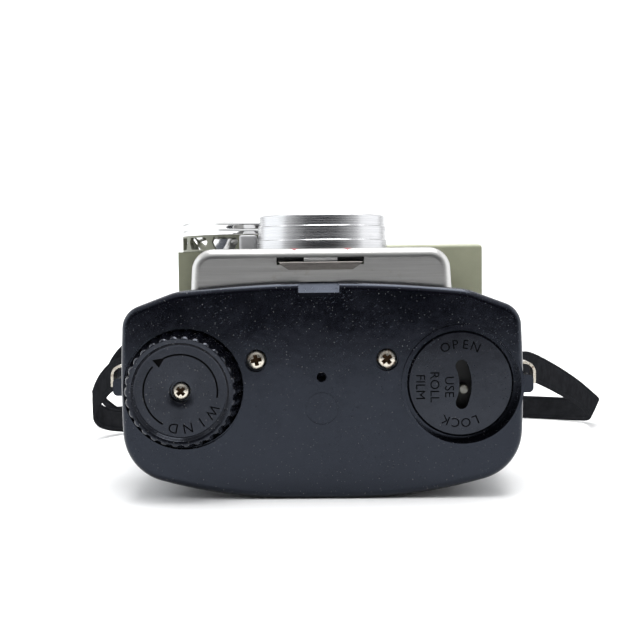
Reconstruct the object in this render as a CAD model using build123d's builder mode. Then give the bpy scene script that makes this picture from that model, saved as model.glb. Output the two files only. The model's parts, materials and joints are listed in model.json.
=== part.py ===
from build123d import *
import os
from math import pi, radians, tan

# Roll-film camera with a built-in flash reflector, lying on its back.
# +Z is the way the lens looks, -Y is the camera's bottom and +Y its top. Lengths in mm.
# Heights are counted from the camera's bottom face, upwards to its top.

# Driving dimensions
BODY_W = 100.5            # width over the moulded sides
BODY_D = 54.3             # depth of the black shell, back to front
CAMERA_H = 91.0           # bottom face to top face
KNOB_RISE = 6.5           # how far the wind knob stands below the bottom face
WALL = 2.0                # moulded wall
CAP_H = 7.0               # height of the bottom plate with its skirt
SPLIT_Z = 44.0            # seam between the back and the front
SEAM = 0.3                # gap between the back and what lifts off it
BOTTOM_Y = KNOB_RISE - (KNOB_RISE + CAMERA_H) / 2

# Outline of the body, seen from its bottom
FOOT_HALF = 8.0           # half width of the flat that the camera lies on
BACK_R = 125.0
SIDE_X = 49.6
BACK_CORNER_Z, BACK_CORNER_R = 7.6, 13.0
FRONT_CORNER_Z, FRONT_CORNER_R = 47.3, 6.0
BEND_X, BEND_Z, BEND_R = 36.5, 52.2, 14.0    # where the front bends to its slanted ends

# Winding side and lock side
KNOB_X, KNOB_Z = -34.5, 28.0
KNOB_R = 14.8
LOCK_X, LOCK_Z = 35.0, 28.3
LOCK_WELL_R = 14.45
LOCK_DEPTH = 4.2
DISC_R = 13.4
DISC_FLANGE_R = 14.0
PIN_X, PIN_Z = 36.0, 26.6
SCREW_X, SCREW_Z = 16.3, 35.0

# Film frame
FRAME_LOW, FRAME_HIGH = 9.2, 63.0
FRAME_T = 1.5
FRAME_INSET = 2.9         # clear of the back while the front lifts off
SPOOL_LOW, SPOOL_HIGH = 11.2, 61.0

# Front housing, lens and shutter
HOUSING_LOW, HOUSING_HIGH = 4.0, 65.0
HOUSING_Z = 62.8
HOUSING_FOOT_X, HOUSING_EDGE_X = 33.1, 32.4
SHOULDER_R = 5.5
HOUSING_T = 1.2
LENS_Y = BOTTOM_Y + 34.0
LEVER_TRAVEL = 6.4
PLATE_Z = 59.7            # sliding aperture plate
RELEASE_X = -21.1

# Top cover, viewfinder, flash and battery
COVER_LEFT, COVER_RIGHT = -44.9, 48.9
COVER_LOW = 65.0
COVER_Z, FLASH_SIDE_Z = 64.5, 62.9
FLASH_SIDE_X = 3.5        # where the cover steps down towards the flash
COVER_T = 1.8
FINDER_X, FINDER_Y = 26.0, BOTTOM_Y + 78.0
FLASH_X, FLASH_Y = -22.5, BOTTOM_Y + 67.0
FLASH_R = 21.5
RIM_LOW_Z, RIM_HIGH_Z = 67.6, 71.5
SOCKET_R = 4.6
CELL_R, CELL_LENGTH = 7.1, 50.5
CELL_X, CELL_HEIGHT = -41.6, 79.0
CELL_ZS = (16.0, 31.0)
EJECT_Z = 51.5

# Strap
LUG_LOW, LUG_LENGTH = 18.0, 9.0
LUG_OUT = 56.0
STRAP_TUBE_R = 2.0


def level(height):
    """Plane across the camera; x is X, y is Z, and a negative extrusion grows to the top."""
    return Plane.XZ.offset(-(BOTTOM_Y + height))


def height_plane(x, z):
    """Plane through an upright axis: local x is the radius, local y the height."""
    return Plane(origin=(x, BOTTOM_Y, z), x_dir=(1, 0, 0), z_dir=(0, 0, 1))


def height_axis(x, z):
    return Axis((x, BOTTOM_Y, z), (0, 1, 0))


def optical_plane(x, y):
    """Plane through an axis along the view: local x is the radius, local y is Z."""
    return Plane(origin=(x, y, 0), x_dir=(1, 0, 0), z_dir=(0, -1, 0))


def optical_axis(x, y):
    return Axis((x, y, 0), (0, 0, 1))


def profile_face(plane, points):
    with BuildSketch(plane) as sketch:
        with BuildLine():
            Polyline(*points, close=True)
        make_face()
    return sketch.sketch


def outline_face(inset=0.0):
    """The body's outline in X and Z, moved inwards by inset."""
    side = SIDE_X - inset
    bulge = BODY_W / 2 - inset
    low, high = BACK_CORNER_Z + inset, FRONT_CORNER_Z - inset
    with BuildSketch() as sketch:
        with BuildLine():
            Line((-FOOT_HALF, inset), (FOOT_HALF, inset))
            RadiusArc((FOOT_HALF, inset), (side, low), -BACK_R)
            ThreePointArc((side, low), (bulge, 29), (side, high))
            Line((side, high), (BEND_X, BEND_Z - inset))
            ThreePointArc((BEND_X, BEND_Z - inset), (0, BODY_D - inset), (-BEND_X, BEND_Z - inset))
            Line((-BEND_X, BEND_Z - inset), (-side, high))
            ThreePointArc((-side, high), (-bulge, 29), (-side, low))
            RadiusArc((-side, low), (-FOOT_HALF, inset), -BACK_R)
        make_face()
        edge_corners = [v for v in sketch.vertices() if abs(v.X) > side - 1]
        fillet([v for v in edge_corners if v.Y < 29], BACK_CORNER_R - inset)
        edge_corners = [v for v in sketch.vertices() if abs(v.X) > side - 1]
        fillet([v for v in edge_corners if v.Y > high - 0.5], FRONT_CORNER_R - inset)
        fillet([v for v in sketch.vertices() if abs(abs(v.X) - BEND_X) < 0.1], BEND_R - inset)
    return sketch.sketch


def strip_face(plane, points, bend, thickness):
    """A bent strip seen from its edge."""
    with BuildSketch(plane) as sketch:
        with BuildLine() as line:
            FilletPolyline(*points, radius=bend)
        trace(line.edges(), thickness)
    return sketch.sketch


def save(part, name):
    part.part.label = name
    export_step(part.part, f"parts/{name}.step")


os.makedirs("parts", exist_ok=True)

# ---------------------------------------------------------------- back

EYE_HOLE = (11.0, 8.0)
WINDOW_Y = BOTTOM_Y + 36.0
WINDOW_R = 4.7

with BuildPart() as back_shell:
    shell_low = CAP_H + SEAM
    with BuildSketch(level(shell_low)):
        add(outline_face())
    extrude(amount=-(CAMERA_H - shell_low))
    fillet(back_shell.faces().sort_by(Axis.Y)[-1].edges(), 3.0)
    with BuildSketch(level(shell_low)):
        add(outline_face(WALL))
    extrude(amount=-(CAMERA_H - shell_low - WALL), mode=Mode.SUBTRACT)
    split(bisect_by=Plane.XY.offset(SPLIT_Z), keep=Keep.BOTTOM)
    # strap lugs on the sides
    for side in (-1, 1):
        with BuildSketch(level(LUG_LOW)):
            with BuildLine():
                Polyline((side * 49.2, 24.2), (side * LUG_OUT, 24.2), (side * LUG_OUT, 28.9),
                         (side * 49.2, 28.9), close=True)
            make_face()
            lug_corners = [v for v in vertices() if abs(v.X) > 52]
            fillet(lug_corners, 1.3)
        extrude(amount=-LUG_LENGTH)
    # boss that carries the lock catch
    with BuildSketch(level(shell_low)):
        with Locations((29.4, 6.0)):
            Rectangle(6.8, 5.0)
    extrude(amount=-1.6)
    with BuildSketch(level(shell_low)):
        with Locations((29.4, 6.8)):
            Rectangle(4.0, 5.0)
    extrude(amount=-0.8, mode=Mode.SUBTRACT)
    # red window, seated from inside, and the eyepiece hole
    with BuildSketch(Plane.XY):
        with Locations((0, WINDOW_Y)):
            Circle(3.6)
        with Locations((FINDER_X, FINDER_Y)):
            Rectangle(*EYE_HOLE)
    extrude(amount=8, mode=Mode.SUBTRACT)
    with BuildSketch(Plane.XY.offset(0.9)):
        with Locations((0, WINDOW_Y)):
            Circle(WINDOW_R)
    extrude(amount=WALL, mode=Mode.SUBTRACT)
save(back_shell, "back_shell")

with BuildPart() as film_window:
    with BuildSketch(Plane.XY.offset(0.9)):
        with Locations((0, WINDOW_Y)):
            Circle(WINDOW_R - 0.05)
    extrude(amount=1.1)
save(film_window, "film_window")

with BuildPart() as window_retainer:
    with BuildSketch(Plane.XY.offset(2.3)):
        with Locations((0, WINDOW_Y)):
            Circle(7.0)
            Circle(3.8, mode=Mode.SUBTRACT)
    extrude(amount=0.5)
save(window_retainer, "window_retainer")

PRESS_Z = 4.0
with BuildPart() as film_pressure_plate:
    with BuildSketch(Plane.XY.offset(PRESS_Z)):
        with Locations((0, WINDOW_Y)):
            RectangleRounded(38, 44, 3)
            Circle(8.0, mode=Mode.SUBTRACT)
    extrude(amount=0.5)
    with BuildSketch(Plane.XY.offset(2.35)):
        with Locations((0, WINDOW_Y)):
            with GridLocations(24, 34, 2, 2):
                Circle(1.6)
    extrude(amount=PRESS_Z - 2.35)
save(film_pressure_plate, "film_pressure_plate")

with BuildPart() as lock_catch:
    with BuildSketch(level(CAP_H + SEAM + 0.05)):
        with Locations((29.4, 10.9)):
            RectangleRounded(3.8, 12.4, 1.2)
    extrude(amount=-0.7)
save(lock_catch, "lock_catch")

for side, name in ((-1, "strap_loop_left"), (1, "strap_loop_right")):
    loop_points = ((side * 50.7, 32.0), (side * 56.6, 32.0), (side * 56.6, 26.4))
    with BuildPart() as strap_loop:
        extrude(strip_face(level(LUG_LOW + 2.0), loop_points, 2.7, 0.7), amount=-5.0)
    save(strap_loop, name)

# Flat neck strap, as a tube of its own section: out of the right lug, down to the surface,
# folded behind the camera, and back up to the left lug. Points are X, height, Z.
STRAP_ROUTE = (
    (53.8, 29.0, 29.6),
    (57.5, 40.0, 29.6),
    (64.5, 55.0, 26.4),
    (74.5, 73.0, 21.0),
    (85.5, 92.0, 14.2),
    (93.5, 108.0, 8.2),
    (97.0, 119.5, 4.8),
    (90.5, 127.0, 4.3),
    (76.0, 134.0, 4.3),
    (56.0, 140.5, 4.3),
    (30.0, 145.0, 4.3),
    (2.0, 147.0, 4.3),
    (-26.0, 146.0, 4.3),
    (-47.0, 141.8, 4.3),
    (-63.0, 134.4, 4.3),
    (-74.0, 125.4, 4.5),
    (-80.2, 119.8, 8.0),
    (-82.2, 119.4, 14.6),
    (-78.6, 121.8, 22.0),
    (-71.0, 125.2, 28.8),
    (-57.0, 127.4, 34.2),
    (-36.5, 128.2, 35.2),
    (-16.0, 128.0, 29.5),
    (4.0, 127.5, 19.5),
    (22.0, 127.6, 9.6),
    (36.5, 127.9, 4.9),
    (48.8, 127.3, 4.3),
    (56.7, 119.4, 4.3),
    (56.7, 108.4, 4.3),
    (48.6, 100.8, 4.3),
    (34.0, 100.3, 4.3),
    (12.0, 102.2, 4.3),
    (-16.0, 105.4, 4.3),
    (-42.0, 107.6, 4.3),
    (-62.0, 108.0, 4.3),
    (-72.0, 105.4, 4.4),
    (-76.4, 97.2, 6.6),
    (-77.0, 85.0, 11.4),
    (-72.5, 70.0, 18.0),
    (-65.5, 55.0, 24.6),
    (-58.5, 41.0, 28.8),
    (-53.8, 29.5, 29.4),
)


def tube_radii(points):
    """Largest arc that two neighbouring runs leave room for, at each corner."""
    radii = []
    for before, here, after in zip(points, points[1:], points[2:]):
        run_in = here - before
        run_out = after - here
        half_turn = radians(run_in.get_angle(run_out)) / 2
        radii.append(0.45 * min(run_in.length, run_out.length) / tan(half_turn))
    return radii


strap_points = [Vector(x, BOTTOM_Y + height, z) for x, height, z in STRAP_ROUTE]
strap_radii = tube_radii(strap_points)
with BuildPart() as neck_strap:
    with BuildLine() as strap_line:
        FilletPolyline(*strap_points, radius=strap_radii)
    with BuildSketch(Plane(strap_points[0], z_dir=strap_points[1] - strap_points[0])):
        Circle(STRAP_TUBE_R)
    sweep(path=strap_line.wire())
save(neck_strap, "neck_strap")
strap_length = strap_line.wire().length
print("strap radii", [round(r, 1) for r in strap_radii])
print("strap runs", [round((b - a).length, 1) for a, b in zip(strap_points, strap_points[1:])])
print("strap length", round(strap_length, 1))
print("strap volume", round(neck_strap.part.volume), round(pi * STRAP_TUBE_R ** 2 * strap_length))

# ---------------------------------------------------------------- bottom plate

KNOB_WELL_R, KNOB_WELL = 15.2, 1.6
LEDGE_LOW, LEDGE_HIGH = 4.6, 5.2
BUSH_R = 3.2
HEAD_R, HEAD_SEAT = 2.55, 1.6
SCREW_TIP = FRAME_LOW + FRAME_T
NOTCH_LEFT, NOTCH_RIGHT = -5.6, 4.6
GATE_MARK_Z, HOLE_Z = 23.0, 30.7

with BuildPart() as bottom_plate:
    with BuildSketch(level(0)):
        add(outline_face())
    extrude(amount=-CAP_H)
    fillet(bottom_plate.faces().sort_by(Axis.Y)[0].edges(), 1.8)
    # skirt and bosses inside
    for low, high, knob_boss in ((2.2, 3.8, 16.4), (3.8, CAP_H, 5.5)):
        with BuildSketch(level(low)):
            add(outline_face(WALL))
            with Locations((KNOB_X, KNOB_Z)):
                Circle(knob_boss, mode=Mode.SUBTRACT)
            with Locations((LOCK_X, LOCK_Z)):
                Circle(15.6, mode=Mode.SUBTRACT)
            with Locations((-SCREW_X, SCREW_Z), (SCREW_X, SCREW_Z)):
                Circle(3.6, mode=Mode.SUBTRACT)
        extrude(amount=-(high - low), mode=Mode.SUBTRACT)
    # raised rim round the lock well
    with BuildSketch(level(-0.8)):
        with Locations((LOCK_X, LOCK_Z)):
            Circle(LOCK_WELL_R + 0.75)
    extrude(amount=-4.0)
    for radius, low, high in ((LOCK_WELL_R, -0.8, LEDGE_LOW), (DISC_R + 0.06, 0, LEDGE_HIGH),
                              (DISC_FLANGE_R + 0.3, LEDGE_HIGH, CAP_H)):
        with BuildSketch(level(low)):
            with Locations((LOCK_X, LOCK_Z)):
                Circle(radius)
        extrude(amount=-(high - low), mode=Mode.SUBTRACT)
    # well and bush hole for the wind knob
    with BuildSketch(level(0)):
        with Locations((KNOB_X, KNOB_Z)):
            Circle(KNOB_WELL_R)
    extrude(amount=-KNOB_WELL, mode=Mode.SUBTRACT)
    with BuildSketch(level(0)):
        with Locations((KNOB_X, KNOB_Z)):
            Circle(BUSH_R)
        with Locations((-SCREW_X, SCREW_Z), (SCREW_X, SCREW_Z)):
            Circle(1.3)
    extrude(amount=-CAP_H, mode=Mode.SUBTRACT)
    # screw seats, moulding gate mark and drilled hole
    for x, z, radius, depth in ((-SCREW_X, SCREW_Z, 2.9, HEAD_SEAT), (SCREW_X, SCREW_Z, 2.9, HEAD_SEAT),
                                (0, GATE_MARK_Z, 4.15, 0.3)):
        with BuildSketch(level(0)):
            with Locations((x, z)):
                Circle(radius)
        extrude(amount=-depth, mode=Mode.SUBTRACT)
    with BuildSketch(level(0)):
        with Locations((0, GATE_MARK_Z)):
            Circle(3.8)
    extrude(amount=-0.35)
    revolve(profile_face(height_plane(0, HOLE_Z), ((0, -0.2), (1.25, -0.2), (1.25, 0.8), (0, 1.9))),
            axis=height_axis(0, HOLE_Z), mode=Mode.SUBTRACT)
    # finger notch with a sloping floor in the front edge
    with BuildPart(mode=Mode.PRIVATE) as notch:
        with BuildSketch(Plane.YZ.offset(NOTCH_LEFT)):
            with BuildLine():
                Polyline((BOTTOM_Y - 1, 50.6), (BOTTOM_Y + 1.0, 50.6), (BOTTOM_Y + 1.3, 51.7),
                         (BOTTOM_Y + 4.2, 55.5), (BOTTOM_Y - 1, 55.5), close=True)
            make_face()
        extrude(amount=NOTCH_RIGHT - NOTCH_LEFT)
        fillet(notch.edges().filter_by(Axis.Y).group_by(Axis.Z)[0], 0.9)
    add(notch.part, mode=Mode.SUBTRACT)
save(bottom_plate, "bottom_plate")


def cross_recess(radius, plane, width=0.9, depth=1.2):
    """Cross-shaped tool for a screw head's drive, cut from the plane inwards."""
    with BuildPart(mode=Mode.PRIVATE) as tool:
        with BuildSketch(plane):
            Rectangle(2 * radius, width)
            Rectangle(width, 2 * radius)
        extrude(amount=-depth)
    return tool.part


with BuildPart() as bottom_screws:
    for x in (-SCREW_X, SCREW_X):
        revolve(profile_face(height_plane(x, SCREW_Z), (
            (0, 0.3), (1.2, 0.35), (2.1, 0.6), (HEAD_R, 1.1), (HEAD_R, HEAD_SEAT),
            (1.22, HEAD_SEAT), (1.22, SCREW_TIP - 0.6), (0, SCREW_TIP))), axis=height_axis(x, SCREW_Z))
        seat = Plane(origin=(x, BOTTOM_Y + 0.2, SCREW_Z), x_dir=(1, 0, 0), z_dir=(0, -1, 0))
        add(cross_recess(1.5, seat), mode=Mode.SUBTRACT)
save(bottom_screws, "bottom_screws")

with BuildPart() as knob_bush:
    revolve(profile_face(height_plane(KNOB_X, KNOB_Z), (
        (2.45, KNOB_WELL), (BUSH_R, KNOB_WELL), (BUSH_R, CAP_H), (4.4, CAP_H), (4.4, CAP_H + 0.4),
        (2.45, CAP_H + 0.4))), axis=height_axis(KNOB_X, KNOB_Z))
save(knob_bush, "knob_bush")

with BuildPart() as lock_retainer:
    revolve(profile_face(height_plane(LOCK_X, LOCK_Z), (
        (11.0, 6.15), (DISC_FLANGE_R + 0.28, 6.15), (DISC_FLANGE_R + 0.28, CAP_H), (11.0, CAP_H))),
        axis=height_axis(LOCK_X, LOCK_Z))
save(lock_retainer, "lock_retainer")

# ---------------------------------------------------------------- wind knob and spool

KNOB_TEETH = 30
with BuildPart() as wind_knob:
    revolve(profile_face(height_plane(KNOB_X, KNOB_Z), (
        (2.4, 1.3), (KNOB_R, 1.3), (KNOB_R, 0.4), (13.5, -5.9), (12.9, -KNOB_RISE), (12.2, -KNOB_RISE),
        (11.6, -5.4), (2.75, -5.2), (2.75, -3.6), (1.3, -3.6), (1.3, -1.5), (2.4, -1.5))),
        axis=height_axis(KNOB_X, KNOB_Z))
    # serrations that follow the sloping side
    with BuildPart(mode=Mode.PRIVATE) as groove:
        with BuildSketch(Plane.XZ.offset(-(BOTTOM_Y - 0.6))):
            with BuildLine():
                Polyline((KNOB_R - 1.1, 0), (KNOB_R + 1.2, 1.25), (KNOB_R + 1.2, -1.25), close=True)
            make_face()
        with BuildSketch(Plane.XZ.offset(-(BOTTOM_Y - 7.0))):
            with BuildLine():
                Polyline((KNOB_R - 2.7, 0), (KNOB_R - 0.4, 1.25), (KNOB_R - 0.4, -1.25), close=True)
            make_face()
        loft()
    for index in range(KNOB_TEETH):
        turned_groove = groove.part.rotate(Axis.Y, index * 360 / KNOB_TEETH)
        add(turned_groove.translate((KNOB_X, 0, KNOB_Z)), mode=Mode.SUBTRACT)
save(wind_knob, "wind_knob")

with BuildPart() as knob_screw:
    revolve(profile_face(height_plane(KNOB_X, KNOB_Z), (
        (0, -4.9), (1.2, -4.8), (1.9, -4.5), (2.25, -4.1), (2.25, -3.6), (1.15, -3.6), (1.15, 2.4),
        (0, 2.8))), axis=height_axis(KNOB_X, KNOB_Z))
    seat = Plane(origin=(KNOB_X, BOTTOM_Y - 5.0, KNOB_Z), x_dir=(1, 0, 1), z_dir=(0, -1, 0))
    add(cross_recess(1.35, seat, 0.8), mode=Mode.SUBTRACT)
save(knob_screw, "knob_screw")

with BuildPart() as take_up_key:
    revolve(profile_face(height_plane(KNOB_X, KNOB_Z), (
        (1.2, -1.5), (2.4, -1.5), (2.4, 10.9), (0, 10.9), (0, 3.2), (1.2, 3.2))),
        axis=height_axis(KNOB_X, KNOB_Z))
    # ratchet wheel
    with BuildSketch(level(7.6)):
        with Locations((KNOB_X, KNOB_Z)):
            Circle(4.2)
            with PolarLocations(4.1, 12):
                Rectangle(1.7, 1.2)
    extrude(amount=-1.0)
    with BuildSketch(level(10.9)):
        with Locations((KNOB_X, KNOB_Z)):
            Rectangle(6.6, 1.0)
    extrude(amount=-3.6)
save(take_up_key, "take_up_key")

with BuildPart() as click_spring:
    spring_points = ((KNOB_X - 9.0, KNOB_Z + 12.0), (KNOB_X - 9.0, KNOB_Z + 3.0), (KNOB_X - 5.7, KNOB_Z + 1.0))
    extrude(strip_face(level(7.5), spring_points, 2.0, 0.35), amount=-1.2)
save(click_spring, "click_spring")

FLANGE_R = 10.2
with BuildPart() as take_up_spool:
    spool_top = SPOOL_HIGH
    revolve(profile_face(height_plane(KNOB_X, KNOB_Z), (
        (0, SPOOL_LOW), (FLANGE_R, SPOOL_LOW), (FLANGE_R, SPOOL_LOW + 1.2), (4.4, SPOOL_LOW + 1.8),
        (4.4, spool_top - 1.8), (FLANGE_R, spool_top - 1.2), (FLANGE_R, spool_top), (1.55, spool_top),
        (1.55, spool_top - 5), (0, spool_top - 5))), axis=height_axis(KNOB_X, KNOB_Z))
    with BuildSketch(level(SPOOL_LOW)):
        with Locations((KNOB_X, KNOB_Z)):
            Rectangle(7.4, 1.5)
    extrude(amount=-4.0, mode=Mode.SUBTRACT)
    # slot in the core for the film's paper end
    with BuildSketch(Plane.XY.offset(KNOB_Z - 6)):
        with Locations((KNOB_X, BOTTOM_Y + (SPOOL_LOW + SPOOL_HIGH) / 2)):
            SlotOverall(30, 1.6, rotation=90)
    extrude(amount=12, mode=Mode.SUBTRACT)
save(take_up_spool, "take_up_spool")

# ---------------------------------------------------------------- lock disc

CAM_LOW = 7.35
with BuildPart() as lock_disc:
    revolve(profile_face(height_plane(LOCK_X, LOCK_Z), (
        (0, LOCK_DEPTH), (DISC_R, LOCK_DEPTH), (DISC_R, 5.3), (DISC_FLANGE_R, 5.3),
        (DISC_FLANGE_R, 6.05), (10.4, 6.05), (10.4, CAM_LOW), (8.8, CAM_LOW), (8.8, 5.5), (0, 5.5))),
        axis=height_axis(LOCK_X, LOCK_Z))
    # finger slot, bowed to the right
    with BuildSketch(level(LOCK_DEPTH)):
        with BuildLine() as slot_line:
            ThreePointArc((LOCK_X + 0.3, LOCK_Z - 4.9), (LOCK_X + 1.25, LOCK_Z - 0.2), (LOCK_X + 0.3, LOCK_Z + 4.5))
        SlotArc(slot_line.edge(), 3.1)
    extrude(amount=-2.0, mode=Mode.SUBTRACT)
save(lock_disc, "lock_disc")

with BuildPart() as lock_cam:
    with BuildSketch(level(CAM_LOW)):
        with Locations((LOCK_X, LOCK_Z)):
            Circle(10.4)
        with Locations((LOCK_X, LOCK_Z - 9.9)):
            RectangleRounded(5.6, 6.4, 1.5)
        with Locations((LOCK_X, LOCK_Z)):
            Circle(8.8, mode=Mode.SUBTRACT)
    extrude(amount=-0.9)
save(lock_cam, "lock_cam")

with BuildPart() as supply_pin:
    revolve(profile_face(height_plane(PIN_X, PIN_Z), (
        (0, 5.9), (1.0, 5.9), (1.2, 6.1), (1.2, 15.0), (0.8, 15.6), (0, 15.6))),
        axis=height_axis(PIN_X, PIN_Z))
save(supply_pin, "supply_pin")

# ---------------------------------------------------------------- film frame

TUNNEL_LOW_Z, TUNNEL_HIGH_Z = 9.0, 50.0
GATE = 40.0
BOARD_T = 1.3
GATE_PLATE_HALF, GATE_T = 21.1, 1.5

INNER_LOW, INNER_HIGH = FRAME_LOW + FRAME_T, FRAME_HIGH - FRAME_T

with BuildPart() as film_frame_bottom:
    with BuildSketch(level(FRAME_LOW)):
        add(outline_face(FRAME_INSET))
        with Locations((KNOB_X, KNOB_Z)):
            Circle(2.8, mode=Mode.SUBTRACT)
        with Locations((PIN_X, PIN_Z)):
            Circle(1.22, mode=Mode.SUBTRACT)
    extrude(amount=-FRAME_T)
    # bosses for the bottom screws
    with BuildSketch(level(CAP_H)):
        with Locations((-SCREW_X, SCREW_Z), (SCREW_X, SCREW_Z)):
            Circle(3.5)
    extrude(amount=-(FRAME_LOW - CAP_H + 0.2))
    with BuildSketch(level(CAP_H)):
        with Locations((-SCREW_X, SCREW_Z), (SCREW_X, SCREW_Z)):
            Circle(1.25)
    extrude(amount=-6.0, mode=Mode.SUBTRACT)
save(film_frame_bottom, "film_frame_bottom")

with BuildPart() as film_frame_top:
    with BuildSketch(level(INNER_HIGH)):
        add(outline_face(FRAME_INSET))
        with Locations((KNOB_X, KNOB_Z), (PIN_X, PIN_Z)):
            Circle(1.52, mode=Mode.SUBTRACT)
    extrude(amount=-FRAME_T)
    # room for the flash socket
    with BuildSketch(Plane.XY.offset(43)):
        with Locations((FLASH_X, FLASH_Y)):
            Circle(6.6)
    extrude(amount=12, mode=Mode.SUBTRACT)
save(film_frame_top, "film_frame_top")

# sloping tunnel walls with the rails that the film runs over
with BuildPart() as tunnel_walls:
    with BuildSketch(level(INNER_LOW)):
        for side in (-1, 1):
            with BuildLine():
                Polyline((side * 21.5, TUNNEL_LOW_Z), (side * 23.2, TUNNEL_LOW_Z),
                         (side * 13.6, TUNNEL_HIGH_Z), (side * 12.0, TUNNEL_HIGH_Z), close=True)
            make_face()
            with Locations((side * 23.2, TUNNEL_LOW_Z + 1.4)):
                Circle(1.9)
    extrude(amount=-(INNER_HIGH - INNER_LOW))
save(tunnel_walls, "tunnel_walls")

with BuildPart() as film_gate:
    with BuildSketch(Plane.XY.offset(TUNNEL_LOW_Z)):
        with Locations((0, BOTTOM_Y + (INNER_LOW + INNER_HIGH) / 2)):
            Rectangle(2 * GATE_PLATE_HALF, INNER_HIGH - INNER_LOW)
        with Locations((0, WINDOW_Y)):
            Rectangle(GATE, GATE, mode=Mode.SUBTRACT)
    extrude(amount=GATE_T)
save(film_gate, "film_gate")

with BuildPart() as lens_board:
    with BuildSketch(Plane.XY.offset(TUNNEL_HIGH_Z)):
        with Locations((0, BOTTOM_Y + (INNER_LOW + INNER_HIGH) / 2)):
            Rectangle(40, INNER_HIGH - INNER_LOW)
        with Locations((0, LENS_Y)):
            Circle(9.0, mode=Mode.SUBTRACT)
        with Locations((FLASH_X, FLASH_Y)):
            Circle(6.6, mode=Mode.SUBTRACT)
    extrude(amount=BOARD_T)
save(lens_board, "lens_board")

with BuildPart() as spool_pins:
    for x, z in ((KNOB_X, KNOB_Z), (PIN_X, PIN_Z)):
        revolve(profile_face(height_plane(x, z), (
            (0, SPOOL_HIGH - 4), (1.0, SPOOL_HIGH - 4), (1.5, SPOOL_HIGH - 3.4), (1.5, FRAME_HIGH),
            (0, FRAME_HIGH))), axis=height_axis(x, z))
save(spool_pins, "spool_pins")

with BuildPart() as supply_spring:
    with BuildSketch(level(20)):
        with BuildLine():
            ThreePointArc((27.0, 43.4), (36.0, 39.4), (45.0, 43.4))
            Line((45.0, 43.4), (45.2, 43.7))
            ThreePointArc((45.2, 43.7), (36.0, 39.7), (26.8, 43.7))
            Line((26.8, 43.7), (27.0, 43.4))
        make_face()
    extrude(amount=-30)
save(supply_spring, "supply_spring")

# ---------------------------------------------------------------- front shell and housing

with BuildPart() as front_shell:
    with BuildSketch(level(CAP_H)):
        add(outline_face())
        add(outline_face(WALL), mode=Mode.SUBTRACT)
    extrude(amount=-(COVER_LOW - CAP_H))
    split(bisect_by=Plane.XY.offset(SPLIT_Z + SEAM), keep=Keep.TOP)
    with BuildSketch(Plane.XY.offset(48)):
        with Locations((0, BOTTOM_Y + 36)):
            Rectangle(44, 48)
        with Locations((FLASH_X, FLASH_Y)):
            Circle(6.6)
    extrude(amount=10, mode=Mode.SUBTRACT)
save(front_shell, "front_shell")

SLOT_LEFT, SLOT_RIGHT = -11.1, 10.9
SLOT_Z, SLOT_H = 59.65, 1.9
HOUSING_FOOT_Z = 51.0
BOWL_HOLE_R = 15.4
RELEASE_SLOT = (3.0, 14.5)


def housing_face(inset):
    with BuildSketch() as sketch:
        with BuildLine():
            Polyline((-HOUSING_FOOT_X + inset, HOUSING_FOOT_Z), (-HOUSING_EDGE_X + inset, HOUSING_Z - inset),
                     (HOUSING_EDGE_X - inset, HOUSING_Z - inset), (HOUSING_FOOT_X - inset, HOUSING_FOOT_Z),
                     close=True)
        make_face()
        shoulders = sketch.vertices().group_by(Axis.Y)[-1]
        fillet(shoulders, SHOULDER_R - inset)
    return sketch.sketch


with BuildPart() as front_housing:
    with BuildSketch(level(HOUSING_LOW)):
        add(housing_face(0))
    extrude(amount=-(HOUSING_HIGH - HOUSING_LOW))
    near_edges = front_housing.faces().sort_by(Axis.Y)[0].edges().filter_by(lambda e: e.center().Z > 53)
    fillet(near_edges, 2.4)
    with BuildSketch(level(HOUSING_LOW + HOUSING_T)):
        add(housing_face(HOUSING_T))
    extrude(amount=-(HOUSING_HIGH - HOUSING_LOW), mode=Mode.SUBTRACT)
    with BuildSketch(level(0)):
        add(outline_face())
    extrude(amount=-CAMERA_H, mode=Mode.SUBTRACT)
    with BuildSketch(Plane.XY.offset(58)):
        with Locations((0, LENS_Y)):
            Circle(17.0)
        with Locations((RELEASE_X, BOTTOM_Y + 38.0)):
            Rectangle(*RELEASE_SLOT)
    extrude(amount=8, mode=Mode.SUBTRACT)
    with BuildSketch(Plane.XY.offset(56)):
        with Locations((FLASH_X, FLASH_Y)):
            Circle(BOWL_HOLE_R)
    extrude(amount=10, mode=Mode.SUBTRACT)
    with BuildSketch(level(HOUSING_LOW)):
        with Locations(((SLOT_LEFT + SLOT_RIGHT) / 2, SLOT_Z)):
            Rectangle(SLOT_RIGHT - SLOT_LEFT, SLOT_H)
    extrude(amount=-3, mode=Mode.SUBTRACT)
save(front_housing, "front_housing")

# ---------------------------------------------------------------- exposure lever

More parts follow.
